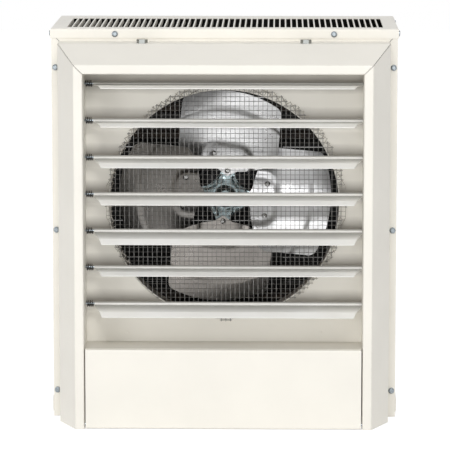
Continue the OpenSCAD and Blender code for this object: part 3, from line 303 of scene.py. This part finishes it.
def tube(points, radius, sides, rings, faces):
    """Adds a round wire along points to the lists of corners and faces."""
    count = len(points)
    across = None
    first = len(rings)
    for k, point in enumerate(points):
        way = (points[min(k + 1, count - 1)] - points[max(k - 1, 0)]).normalized()
        if across is None:
            side = Vector((0, 0, 1)) if abs(way.z) < 0.9 else Vector((1, 0, 0))
            across = way.cross(side).normalized()
        across = (across - way * across.dot(way)).normalized()
        up = way.cross(across)
        for j in range(sides):
            a = 2 * math.pi * j / sides
            rings.append(point + (across * math.cos(a) + up * math.sin(a)) * radius)
    for k in range(count - 1):
        for j in range(sides):
            a = first + k * sides + j
            b = first + k * sides + (j + 1) % sides
            faces.append((a, b, b + sides, a + sides))
    faces.append(tuple(first + j for j in range(sides))[::-1])
    faces.append(tuple(first + (count - 1) * sides + j for j in range(sides)))


def make_piece(name, corners, faces, material, body, crease):
    """A named piece that rides on a body, smooth but for creases over that many degrees."""
    mesh = bpy.data.meshes.new(name)
    mesh.from_pydata([tuple(c) for c in corners], [], faces)
    mesh.update()
    mesh.shade_smooth()
    mesh.set_sharp_from_angle(angle=math.radians(crease))
    mesh.materials.append(material)
    piece = bpy.data.objects.new(name, mesh)
    bpy.context.scene.collection.objects.link(piece)
    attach(piece, body)
    return piece


# The woven disc: each wire runs over and under the ones it crosses
cloth_points, cloth_faces = [], []
rows = int(MESH_DISC / MESH_PITCH)
for row in range(-rows, rows + 1):
    reach = int(math.sqrt(MESH_DISC ** 2 - (row * MESH_PITCH) ** 2) / MESH_PITCH)
    steps = [-reach * MESH_PITCH - MESH_STUB]
    steps += [half * MESH_PITCH / 2 for half in range(-2 * reach, 2 * reach + 1)]
    steps += [reach * MESH_PITCH + MESH_STUB]
    for upright in (False, True):
        line = []
        for along in steps:
            weave = MESH_WIRE * math.cos(math.pi * (along / MESH_PITCH + row))
            if upright:
                offset = (row * MESH_PITCH, -weave, along)
            else:
                offset = (along, weave, row * MESH_PITCH)
            line.append(MESH_CENTRE + Vector(offset))
        tube(line, MESH_WIRE, MESH_SIDES, cloth_points, cloth_faces)
cloth = make_piece("mesh_guard_cloth", cloth_points, cloth_faces,
                   galvanised("mesh_zinc", MESH_TONE, 0.40, 300.0),
                   "cabinet", WIRE_CREASE)
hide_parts("mesh_guard")


def cut_to_flap(start, way, flap):
    """The two ends of the wire through start along way, within the flap's four edges."""
    ends = [-1.0, 1.0]
    for normal, limit in flap:
        rate, room = way.dot(normal), limit - start.dot(normal)
        if abs(rate) < 1e-9:
            if room < 0:
                ends = [1.0, -1.0]
        elif rate > 0:
            ends[1] = min(ends[1], room / rate)
        else:
            ends[0] = max(ends[0], room / rate)
    return ends


# The hem: each wire past a flap's fold line, turned back over the disc
hem_points, hem_faces = [], []
for k in range(HEM_FIRST, HEM_LAST + 1):
    a = math.radians(k * 360 / HEM_FLAPS)
    out = Vector((math.cos(a), math.sin(a)))
    side = Vector((-out.y, out.x))
    half = HEM_FOLD * math.tan(math.pi / HEM_FLAPS)
    flap = ((out, HEM_FOLD + HEM_DEPTH), (-out, -HEM_FOLD), (side, half), (-side, half))
    for way in (Vector((1.0, 0.0)), Vector((0.0, 1.0))):
        for row in range(-rows - 3, rows + 4):
            start = Vector((way.y, way.x)) * row * MESH_PITCH
            ends = cut_to_flap(start, way, flap)
            if ends[1] - ends[0] < HEM_LEAST:
                continue
            line = []
            for reach in ends:
                spot = start + way * reach
                spot = spot - out * 2 * (spot.dot(out) - HEM_FOLD)
                line.append(MESH_CENTRE + Vector((spot.x, -HEM_LIFT, spot.y)))
            tube(line, MESH_WIRE, MESH_SIDES, hem_points, hem_faces)
make_piece("mesh_guard_hem", hem_points, hem_faces, galvanised("hem_zinc", HEM_LIT_TONE, 0.42, 300.0),
           "cabinet", WIRE_CREASE)

# ---- Access door
# A folded steel tray with a plain face, on two riveted pins at its lower corners and held
# shut by two magnetic catches under the shelf.
ZINC_PLATE = (0.27, 0.30, 0.32)
CATCH_BLACK = (0.022, 0.022, 0.024)
finish_nodes(powder_coat("door_coat", ALMOND), "access_door")
zinc_plate = galvanised("zinc_plate", ZINC_PLATE, 0.22, 500.0, 0.05)
finish_nodes(zinc_plate, "door_hinge_pins")


# Moulded plastic with a fine sparked grain
plastic = Finish("black_plastic", CATCH_BLACK, 0.0, 0.5)
plastic.roughness(plastic.spread(plastic.noise(60.0, 3.0), 0.3, 0.7, 0.42, 0.58))
plastic.bump(plastic.noise(1500.0, 3.0), 0.04 * MM, plastic.rounded_edges(0.4 * MM)[0])
black_plastic = plastic.material
finish_nodes(black_plastic, "door_catches")

# ---- Louvres
# Seven blades of satin coated sheet, each with a rolled pivot edge and a bent lip, turning on
# a zinc plated rod. A black coil spring presses each to the right.
LOUVRES = 7
SATIN_LOW, SATIN_HIGH = (0.89, 0.88, 0.84), (0.94, 0.935, 0.91)
LOUVRE_SHADE = (0.36, 0.35, 0.325)     # painted shade on the upward faces, deepest towards the rod
LOUVRE_AXIS = -106 * MM
SHADE_FROM, SHADE_FULL = 27 * MM, 6 * MM            # in front of the rod
BRUSH_DEPTH = 0.012 * MM
LOUVRE_EDGE = 0.35 * MM

satin = Finish("louvre_coat", SATIN_LOW, 0.0, 0.34)
brushing = satin.noise(900.0, 3.0, (0.012, 1.0, 1.0))
stain = satin.spread(satin.noise(14.0, 3.0), 0.35, 0.7, 0.0, 1.0)
depth = satin.node("ShaderNodeSeparateXYZ", Vector=satin.place).outputs[1]
facing = satin.node("ShaderNodeTexCoord").outputs["Normal"]
upward = satin.node("ShaderNodeSeparateXYZ", Vector=facing).outputs[2]
# Upward faces darken towards the rod: painted shade.
shaded = satin.math("MULTIPLY", satin.spread(upward, 0.1, 0.5, 0.0, 1.0),
                     satin.spread(depth, LOUVRE_AXIS - SHADE_FROM, LOUVRE_AXIS - SHADE_FULL,
                                  0.0, 1.0))
satin.colour(satin.mixed(shaded, satin.mixed(stain, SATIN_LOW, SATIN_HIGH), LOUVRE_SHADE))
satin.roughness(satin.spread(brushing, 0.25, 0.75, 0.28, 0.42))
satin.bump(brushing, BRUSH_DEPTH, satin.rounded_edges(LOUVRE_EDGE)[0])
finish_nodes(satin.material, *[f"louvre_{i + 1}" for i in range(LOUVRES)])
finish_nodes(zinc_plate, "louvre_rods")

SPRING_WIRE = 0.6 * MM                # radius
SPRING_CURLS = 4
SPRING_STEPS = 28                     # points in each curl
SPRING_BLACK = (0.012, 0.012, 0.012)
spring_steel = Finish("spring_steel", SPRING_BLACK, 0.0, 0.45)
spring_steel.roughness(spring_steel.spread(spring_steel.noise(700.0, 2.0), 0.3, 0.7, 0.4, 0.6))
for i in range(LOUVRES):
    low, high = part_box(f"louvre_spring_{i + 1}")
    middle = (low + high) / 2
    wind = (high.z - low.z) / 2 - SPRING_WIRE
    straight = SPRING_WIRE * 2
    rise = high.x - low.x - straight * 2
    steps = SPRING_CURLS * SPRING_STEPS
    route = [Vector((low.x, middle.y + wind, middle.z))]
    for k in range(steps + 1):
        a = 2 * math.pi * k / SPRING_STEPS
        route.append(Vector((low.x + straight + rise * k / steps,
                             middle.y + wind * math.cos(a), middle.z + wind * math.sin(a))))
    route.append(Vector((high.x, middle.y + wind, middle.z)))
    coil_points, coil_faces = [], []
    tube(route, SPRING_WIRE, 10, coil_points, coil_faces)
    coil = make_piece(f"louvre_coil_{i + 1}", coil_points, coil_faces, spring_steel.material,
                      "cabinet", 60.0)
    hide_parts(f"louvre_spring_{i + 1}")

# ---- Fan
# Four pressed aluminium blades are riveted in front of a galvanised steel star. The star's
# hub is locked to the motor shaft by a set screw.
FAN_TURN = math.radians(5.8)
FAN_HUB = Vector((0.0, 3.0 * MM, ORIFICE_LEVEL))
BLADE_PITCH = math.radians(20)
BLADE_THICK = 1.5 * MM
BLADE_HALF = 74.5 * MM
BLADE_ROOT = 36 * MM
BLADE_ROOT_RISE = 21 * MM
BLADE_TIP = 148.5 * MM
BLADE_CORNER = 7 * MM
TONGUE_LENGTH = 8 * MM                # of the point towards the hub
TONGUE_HALF = 14 * MM
PAD_HALF, PAD_TOP, PAD_CORNER = 31 * MM, 67.5 * MM, 16 * MM
PAD_EDGE = 9 * MM
PAD_RISE = 3 * MM
CAMBER = 4.5 * MM
CAMBER_RUN = 60 * MM
STEP_RADIUS, STEP_WIDTH, STEP_RISE = 119 * MM, 5 * MM, 1.5 * MM
ARM_THICK = 2.5 * MM


def ease(x):
    x = min(1.0, max(0.0, x))
    return x * x * (3 - 2 * x)


def round_off(past, radius):
    """How far a rounded corner pulls the edge in, this far past the corner's start."""
    return radius - math.sqrt(max(0.0, radius ** 2 - max(0.0, past) ** 2))


def blade_inner(s):
    """Radius of the blade's edge near the hub, s across the arm."""
    return (BLADE_ROOT + BLADE_ROOT_RISE * (s / BLADE_HALF) ** 2
            - TONGUE_LENGTH * max(0.0, 1 - abs(s) / TONGUE_HALF)
            + round_off(abs(s) - (BLADE_HALF - BLADE_CORNER), BLADE_CORNER))


def blade_outer(s):
    """Radius of the blade's tip, s across the arm."""
    return (math.sqrt(BLADE_TIP ** 2 - (s * math.cos(BLADE_PITCH)) ** 2)
            - round_off(abs(s) - (BLADE_HALF - BLADE_CORNER), BLADE_CORNER))


def blade_lift(r, s):
    """Height of the blade over its seat: a flat pad, a pressed ridge, a hollow sweep, a step."""
    side = abs(s) - PAD_HALF + PAD_CORNER
    out = r - PAD_TOP + PAD_CORNER
    reach = math.hypot(max(side, 0.0), max(out, 0.0)) + min(max(side, out), 0.0) - PAD_CORNER
    step = ease((math.hypot(s * math.cos(BLADE_PITCH), r) - STEP_RADIUS) / STEP_WIDTH)
    return (PAD_RISE * ease(reach / PAD_EDGE)
            + CAMBER * (s / BLADE_HALF) ** 2 * ease(reach / CAMBER_RUN) + STEP_RISE * step)


def fan_place(r, s, n, pitch, quarter):
    """Point at radius r, s across the arm and n in front of it, on one of four arms."""
    local = Vector((s * math.cos(pitch) - n * math.sin(pitch),
                    -s * math.sin(pitch) - n * math.cos(pitch), r))
    return FAN_HUB + Matrix.Rotation(FAN_TURN + quarter * math.pi / 2, 3, "Y") @ local


def plate(front, back):
    """Corners and faces of a closed plate between two grids of points."""
    lines, columns = len(front), len(front[0])
    size = lines * columns
    faces = []
    for i in range(lines - 1):
        for j in range(columns - 1):
            a = i * columns + j
            faces.append((a, a + 1, a + columns + 1, a + columns))
            faces.append((a + size, a + columns + size, a + columns + 1 + size, a + 1 + size))
    rim = list(range(columns))
    rim += [i * columns + columns - 1 for i in range(1, lines)]
    rim += [(lines - 1) * columns + j for j in range(columns - 2, -1, -1)]
    rim += [i * columns for i in range(lines - 2, 0, -1)]
    for a, b in zip(rim, rim[1:] + rim[:1]):
        faces.append((b, a, a + size, b + size))
    return [p for line in front for p in line] + [p for line in back for p in line], faces


# From the upper blade on, clockwise: one aluminium, painted lighter on the right blade and darker
# on the last two, as the light and shade each blade gets
BLADE_LIT_AND_SHADED_TONES = [(0.42, 0.42, 0.42), (0.68, 0.68, 0.69), (0.40, 0.375, 0.35), (0.31, 0.295, 0.28)]
BLADE_DULL, BLADE_CLEAN = 0.86, 1.08  # shares of a blade's tone, smeared and wiped
blade_metals = []
for quarter, tone in enumerate(BLADE_LIT_AND_SHADED_TONES):
    aluminium = Finish(f"blade_aluminium_{quarter + 1}", tone, 1.0, 0.32)
    grain = aluminium.noise(90.0, 3.0)
    smears = aluminium.noise(14.0, 4.0)
    aluminium.colour(aluminium.mixed(aluminium.spread(smears, 0.38, 0.66, 0.0, 1.0),
                                     tuple(BLADE_DULL * c for c in tone),
                                     tuple(BLADE_CLEAN * c for c in tone)))
    aluminium.roughness(aluminium.math("ADD", aluminium.spread(grain, 0.3, 0.7, 0.27, 0.30),
                                       aluminium.spread(smears, 0.35, 0.65, 0.03, -0.01)))
    blade_metals.append(aluminium.material)

BLADE_COLUMNS, BLADE_LINES = 65, 40
for quarter in range(4):
    skins = []
    for face in (BLADE_THICK, 0.0):
        grid = []
        for i in range(BLADE_LINES):
            share = i / (BLADE_LINES - 1)
            line = []
            for j in range(BLADE_COLUMNS):
                s = BLADE_HALF * math.sin(math.pi * (j / (BLADE_COLUMNS - 1) - 0.5))
                r = blade_inner(s) + (blade_outer(s) - blade_inner(s)) * share
                line.append(fan_place(r, s, blade_lift(r, s) + face, BLADE_PITCH, quarter))
            grid.append(line)
        skins.append(grid)
    corners, faces = plate(*skins)
    blade = make_piece(f"fan_blade_skin_{quarter + 1}", corners, faces, blade_metals[quarter],
                       "fan", 50.0)
    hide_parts(f"fan_blade_{quarter + 1}")

HUB_DISC, HUB_BARREL, HUB_LENGTH = 19 * MM, 12 * MM, 24 * MM
DOME_FOOT, DOME_HEAD, DOME_RISE = 16 * MM, 8 * MM, 6 * MM
HUB_BORE = 4.3 * MM                   # the 4 mm shaft with its clearance
HUB_SIDES = 64
ARM_START, ARM_FLAT, ARM_WAIST, ARM_END = 13 * MM, 26 * MM, 36 * MM, 65 * MM
ARM_ROOT_HALF, ARM_WAIST_HALF, ARM_END_HALF = 24 * MM, 10 * MM, 33 * MM
ARM_ROOT_CURVE = 1.35
ARM_FLARE = 20 * MM
ARM_CORNER = 9 * MM
BEAD_RISE, BEAD_RIM = 1.8 * MM, 1.0 * MM
BEAD_PLACE, BEAD_HALF = 0.70, 0.22    # of half the arm's width
BEAD_FADE = 4 * MM
ARM_LINES, ARM_COLUMNS = 40, 25
STAR_VOXEL = 0.75 * MM
STAR_TONE = (0.24, 0.29, 0.30)
RIVET_TONE = (0.42, 0.42, 0.41)


def arm_half(r):
    """Half the arm's width, wide at the hub, waisted and flared under the blade."""
    if r < ARM_WAIST:
        back = (ARM_WAIST - r) / (ARM_WAIST - ARM_START)
        half = ARM_WAIST_HALF + (ARM_ROOT_HALF - ARM_WAIST_HALF) * back ** ARM_ROOT_CURVE
    else:
        half = ARM_WAIST_HALF + (ARM_END_HALF - ARM_WAIST_HALF) * ease((r - ARM_WAIST) / ARM_FLARE)
    return half - round_off(r - (ARM_END - ARM_CORNER), ARM_CORNER)


def arm_bead(r, share):
    """Height of the rib along each side of the arm, and of its raised rim."""
    rib = BEAD_RISE * ease(1 - abs(abs(share) - BEAD_PLACE) / BEAD_HALF)
    rim = BEAD_RIM * ease((abs(share) - BEAD_PLACE - BEAD_HALF / 2) / (BEAD_HALF / 2))
    return max(rib, rim) * (1 - ease((r - ARM_FLAT) / BEAD_FADE))


def turned(profile):
    """Corners and faces of a closed ring round the fan's axis, from (radius, depth) pairs."""
    corners, faces = [], []
    for k in range(HUB_SIDES):
        a = 2 * math.pi * k / HUB_SIDES
        corners += [FAN_HUB + Vector((r * math.cos(a), y, r * math.sin(a))) for r, y in profile]
    size = len(profile)
    for k in range(HUB_SIDES):
        here, ahead = k * size, (k + 1) % HUB_SIDES * size
        for j in range(size):
            after = (j + 1) % size
            faces.append((here + j, here + after, ahead + after, ahead + j))
    return corners, faces


star_corners, star_faces = [], []
star_parts = [turned([(HUB_BORE, -DOME_RISE), (DOME_HEAD, -DOME_RISE), (DOME_FOOT, 0.0),
                      (HUB_DISC, 0.0), (HUB_DISC, ARM_THICK), (HUB_BARREL, ARM_THICK),
                      (HUB_BARREL, HUB_LENGTH), (HUB_BORE, HUB_LENGTH)])]
for quarter in range(4):
    skins = []
    for face in (0.0, -ARM_THICK):
        grid = []
        for i in range(ARM_LINES):
            r = ARM_START + (ARM_END - ARM_START) * i / (ARM_LINES - 1)
            pitch = BLADE_PITCH * ease((r - ARM_START) / (ARM_FLAT - ARM_START))
            shares = [2 * j / (ARM_COLUMNS - 1) - 1 for j in range(ARM_COLUMNS)]
            grid.append([fan_place(r, share * arm_half(r), arm_bead(r, share) + face,
                                   pitch, quarter) for share in shares])
        skins.append(grid)
    star_parts.append(plate(*skins))
for corners, faces in star_parts:
    star_faces += [tuple(len(star_corners) + c for c in face) for face in faces]
    star_corners += corners
star_zinc = galvanised("star_zinc", STAR_TONE, 0.22, 120.0, 0.08)
star = make_piece("fan_star", star_corners, star_faces, star_zinc, "fan", 40.0)
# One skin over hub and arms, as the star is pressed from one sheet
remesh = star.modifiers.new("pressed_as_one", "REMESH")
remesh.mode = "VOXEL"
remesh.voxel_size = STAR_VOXEL
remesh.use_smooth_shade = True
soften = star.modifiers.new("soft_edges", "SMOOTH")
soften.factor = 0.5
soften.iterations = 4
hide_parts("fan_spider")
finish_nodes(galvanised("rivet_metal", RIVET_TONE, 0.22, 600.0, 0.04), "fan_rivets")
finish_nodes(zinc_plate, "motor_shaft")

# ---- Motor
# A shaded-pole motor: a stack of stator steel between two cast end bells, enamelled black,
# on a pressed bar across the cabinet.
ENAMEL_BLACK = (0.018, 0.018, 0.019)
STATOR_STEEL = (0.03, 0.03, 0.032)
STATOR_STRIPES = 320.0                # edges of the stacked sheets, per metre
enamel = Finish("motor_enamel", ENAMEL_BLACK, 0.0, 0.42)
enamel.roughness(enamel.spread(enamel.noise(40.0, 3.0), 0.3, 0.7, 0.34, 0.55))
enamel.bump(enamel.noise(420.0, 3.0), 0.05 * MM, enamel.rounded_edges(0.6 * MM)[0])
lamination = Finish("stator_steel", STATOR_STEEL, 0.6, 0.45)
stripes = lamination.node("ShaderNodeTexWave", {"bands_direction": "Y"}, Vector=lamination.place,
                          Scale=STATOR_STRIPES, Distortion=0.4).outputs[0]
lamination.bump(stripes, 0.08 * MM)
# The black enamel is the motor's finish; on the cast bells and the bar it is also painted shade of
# the unlit chamber.
finish_nodes(enamel.material, "motor_front_bell", "motor_rear_bell", "motor_bar")
finish_nodes(lamination.material, "motor_stator", "motor_rotor")
finish_nodes(zinc_plate, "motor_studs")
finish_nodes(enamel.material, "fan_set_screw")

# ---- Heating elements
# Six steel-sheathed hairpins with brazed fins, heat-darkened, on two galvanised brackets.
# A high-limit switch sits on the left bracket.
SHEATH_DARK, SHEATH_BROWN = (0.035, 0.03, 0.03), (0.085, 0.066, 0.052)
# near-black zinc on the brackets: painted shade of the unlit chamber
BRACKET_SHADED_TONE = (0.10, 0.10, 0.10)
sheath = Finish("heat_darkened_steel", SHEATH_BROWN, 0.9, 0.45)
scale_marks = sheath.noise(70.0, 4.0)
sheath.colour(sheath.mixed(sheath.spread(scale_marks, 0.35, 0.65, 0.0, 1.0),
                           SHEATH_DARK, SHEATH_BROWN))
sheath.roughness(sheath.spread(scale_marks, 0.3, 0.7, 0.36, 0.6))
finish_nodes(sheath.material, "heating_elements", "element_fins")
finish_nodes(galvanised("bracket_zinc", BRACKET_SHADED_TONE, 0.45, 90.0), "element_brackets")
finish_nodes(black_plastic, "limit_switch")

# ---- Wiring compartment
# A contactor, a control transformer, a four-pole terminal block and a ground lug stand on the
# bottom pan. Three insulated leads bring the supply from the block to the contactor.
COPPER = (0.80, 0.42, 0.26)
LEAD_COLOURS = {"black": (0.02, 0.02, 0.02), "red": (0.42, 0.02, 0.02), "blue": (0.02, 0.05, 0.30)}
LEAD_RADIUS, LEAD_SIDES = 1.4 * MM, 10
LEAD_PITCH = 3.4 * MM                 # between leads, behind the transformer
LANE_BACK = 12 * MM                   # from the transformer to the first lead
LEAD_TUCK = 9 * MM                    # how far the ends reach in under the terminals
BLOCK_RISE, CONTACTOR_RISE = 18 * MM, 30 * MM     # terminals over the bottom pan
FIRST_POLE, POLE_PITCH = 0.245, 0.255             # shares of the contactor's width

copper = Finish("bare_copper", COPPER, 1.0, 0.32)
copper.roughness(copper.spread(copper.noise(90.0, 3.0), 0.3, 0.7, 0.24, 0.45))
finish_nodes(black_plastic, "contactor", "terminal_block")
finish_nodes(lamination.material, "transformer")
finish_nodes(copper.material, "ground_lug")


def smooth_route(knots, parts=7):
    """Points along a smooth line through the knots."""
    ends = [knots[0] * 2 - knots[1], *knots, knots[-1] * 2 - knots[-2]]
    route = []
    for a, b, c, d in zip(ends, ends[1:], ends[2:], ends[3:]):
        for k in range(parts):
            t = k / parts
            route.append((b * 2 + (c - a) * t + (a * 2 - b * 5 + c * 4 - d) * t ** 2
                          + (b * 3 - a - c * 3 + d) * t ** 3) / 2)
    route.append(knots[-1])
    return route


def insulation(name, colour):
    sleeve = Finish(name, colour, 0.0, 0.48)
    sleeve.roughness(sleeve.spread(sleeve.noise(120.0, 2.0), 0.3, 0.7, 0.4, 0.58))
    sleeve.bump(sleeve.noise(900.0, 2.0), 0.03 * MM)
    return sleeve.material


contactor_low, contactor_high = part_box("contactor")
block_low, block_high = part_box("terminal_block")
transformer_low, transformer_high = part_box("transformer")
pan_top = contactor_low.z
for k, (label, colour) in enumerate(LEAD_COLOURS.items()):
    start = block_low.x + (block_high.x - block_low.x) * (2 * k + 1) / 8
    end = contactor_low.x + (contactor_high.x - contactor_low.x) * (FIRST_POLE + POLE_PITCH * k)
    lane = transformer_high.y + LANE_BACK + k * LEAD_PITCH
    # Out of the block, down behind the transformer, and up into the contactor
    knots = [Vector((start, block_high.y - LEAD_TUCK, pan_top + BLOCK_RISE)),
             Vector((start, block_high.y + 4 * MM, pan_top + 17 * MM)),
             Vector((start - 6 * MM, lane, pan_top + 6 * MM)),
             Vector((transformer_low.x, lane, pan_top + 4 * MM)),
             Vector((end + 5 * MM, lane + 4 * MM, pan_top + 10 * MM)),
             Vector((end, contactor_high.y + 3 * MM, pan_top + CONTACTOR_RISE)),
             Vector((end, contactor_high.y - LEAD_TUCK, pan_top + CONTACTOR_RISE))]
    lead_points, lead_faces = [], []
    tube(smooth_route(knots), LEAD_RADIUS, LEAD_SIDES, lead_points, lead_faces)
    make_piece(f"supply_lead_{label}", lead_points, lead_faces,
               insulation(f"{label}_insulation", colour), "cabinet", 60.0)

# ---- Screws and bolts
# Zinc plated pan head screws hold the sheets, and two hex bolts with weld nuts stand on the
# front frame's ledge.
BOLT_TONE = (0.27, 0.28, 0.27)
finish_nodes(zinc_plate, "frame_screws", "cover_screws", "rear_panel_screws", "hanger_nuts")
finish_nodes(galvanised("bolt_zinc", BOLT_TONE, 0.26, 700.0, 0.08), "hanger_bolts")

# ---- Studio
# A white sweep, soft light from the front and above, and a long lens a little above the
# heater and to its right.
FLOOR_WHITE = (0.93, 0.93, 0.93)
FLOOR_HALF = 6.0
FLOOR_GAP = 0.5 * MM                  # keeps the floor clear of the lowest edge
FLOOR_LIFT = 0.55                     # added where it is seen, which then shows white
SKY_LIGHT = 0.49                      # what the world gives the object
SKY_SEEN = 1.0                        # what it shows to the camera, to metal and to glass
CAMERA_DISTANCE = 4.442
CAMERA_AZIMUTH = math.radians(1.016)
CAMERA_ELEVATION = math.radians(8.576)
CAMERA_TARGET = Vector((-0.0002, 0.0, 0.2614))
CAMERA_SENSOR = 36                    # in millimetres, as the lens
CAMERA_LENS = 3157 / 450 * CAMERA_SENSOR          # from the focal length in pixels of 450


def sum_of(tree, *sockets):
    """Adds sockets one by one."""
    total = sockets[0]
    for socket in sockets[1:]:
        added = tree.nodes.new("ShaderNodeMath")
        added.operation = "ADD"
        tree.links.new(total, added.inputs[0])
        tree.links.new(socket, added.inputs[1])
        total = added.outputs[0]
    return total


def seen_rays(tree):
    """1 where the camera, metal or glass looks at this, and 0 where it only gives light."""
    path = tree.nodes.new("ShaderNodeLightPath").outputs
    return sum_of(tree, path["Is Camera Ray"], path["Is Transmission Ray"],
                  path["Is Glossy Ray"])


world = bpy.data.worlds.new("studio")
bpy.context.scene.world = world
world.use_nodes = True
sky = world.node_tree.nodes["Background"]
sky.inputs["Color"].default_value = (1, 1, 1, 1)
strength = world.node_tree.nodes.new("ShaderNodeMapRange")
strength.inputs["To Min"].default_value = SKY_LIGHT
strength.inputs["To Max"].default_value = SKY_SEEN
world.node_tree.links.new(seen_rays(world.node_tree), strength.inputs["Value"])
world.node_tree.links.new(strength.outputs[0], sky.inputs["Strength"])

sweep = bmesh.new()
bmesh.ops.create_grid(sweep, x_segments=2, y_segments=2, size=FLOOR_HALF)
sweep_mesh = bpy.data.meshes.new("floor")
sweep.to_mesh(sweep_mesh)
sweep.free()
floor_piece = bpy.data.objects.new("floor", sweep_mesh)
floor_piece.location.z = cad_low.z - FLOOR_GAP
bpy.context.scene.collection.objects.link(floor_piece)
paper = Finish("floor_paper", FLOOR_WHITE, 0.0, 0.9)
paper.set(paper.shader.inputs["Emission Color"], (1, 1, 1, 1))
paper.set(paper.shader.inputs["Emission Strength"],
          paper.math("MULTIPLY", seen_rays(paper.tree), FLOOR_LIFT))
sweep_mesh.materials.append(paper.material)
floor_piece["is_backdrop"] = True


def softbox(name, place, aim, size, power):
    lamp = bpy.data.lights.new(name, "AREA")
    lamp.shape = "RECTANGLE"
    lamp.size, lamp.size_y = size
    lamp.energy = power
    holder = bpy.data.objects.new(name, lamp)
    holder.location = place
    holder.rotation_euler = (Vector(aim) - Vector(place)).to_track_quat("-Z", "Y").to_euler()
    bpy.context.scene.collection.objects.link(holder)


softbox("front_high", (0.1, -2.8, 2.5), (0, 0, 0.3), (1.4, 0.9), 45.0)
softbox("front", (-0.2, -5.4, 0.5), (0, 0, 0.27), (3.2, 1.3), 36.0)
softbox("front_left", (-2.3, -2.7, 0.5), (0, 0, 0.3), (0.9, 0.6), 13.0)

camera = bpy.data.objects.new("camera", bpy.data.cameras.new("camera"))
camera.data.lens = CAMERA_LENS
camera.data.sensor_width = CAMERA_SENSOR
away = Vector((math.sin(CAMERA_AZIMUTH) * math.cos(CAMERA_ELEVATION),
               -math.cos(CAMERA_AZIMUTH) * math.cos(CAMERA_ELEVATION),
               math.sin(CAMERA_ELEVATION)))
camera.location = CAMERA_TARGET + away * CAMERA_DISTANCE
camera.rotation_euler = (-away).to_track_quat("-Z", "Y").to_euler()
camera.data.clip_end = 100
bpy.context.scene.collection.objects.link(camera)
bpy.context.scene.camera = camera
bpy.context.scene.view_settings.view_transform = "Standard"

low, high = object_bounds()
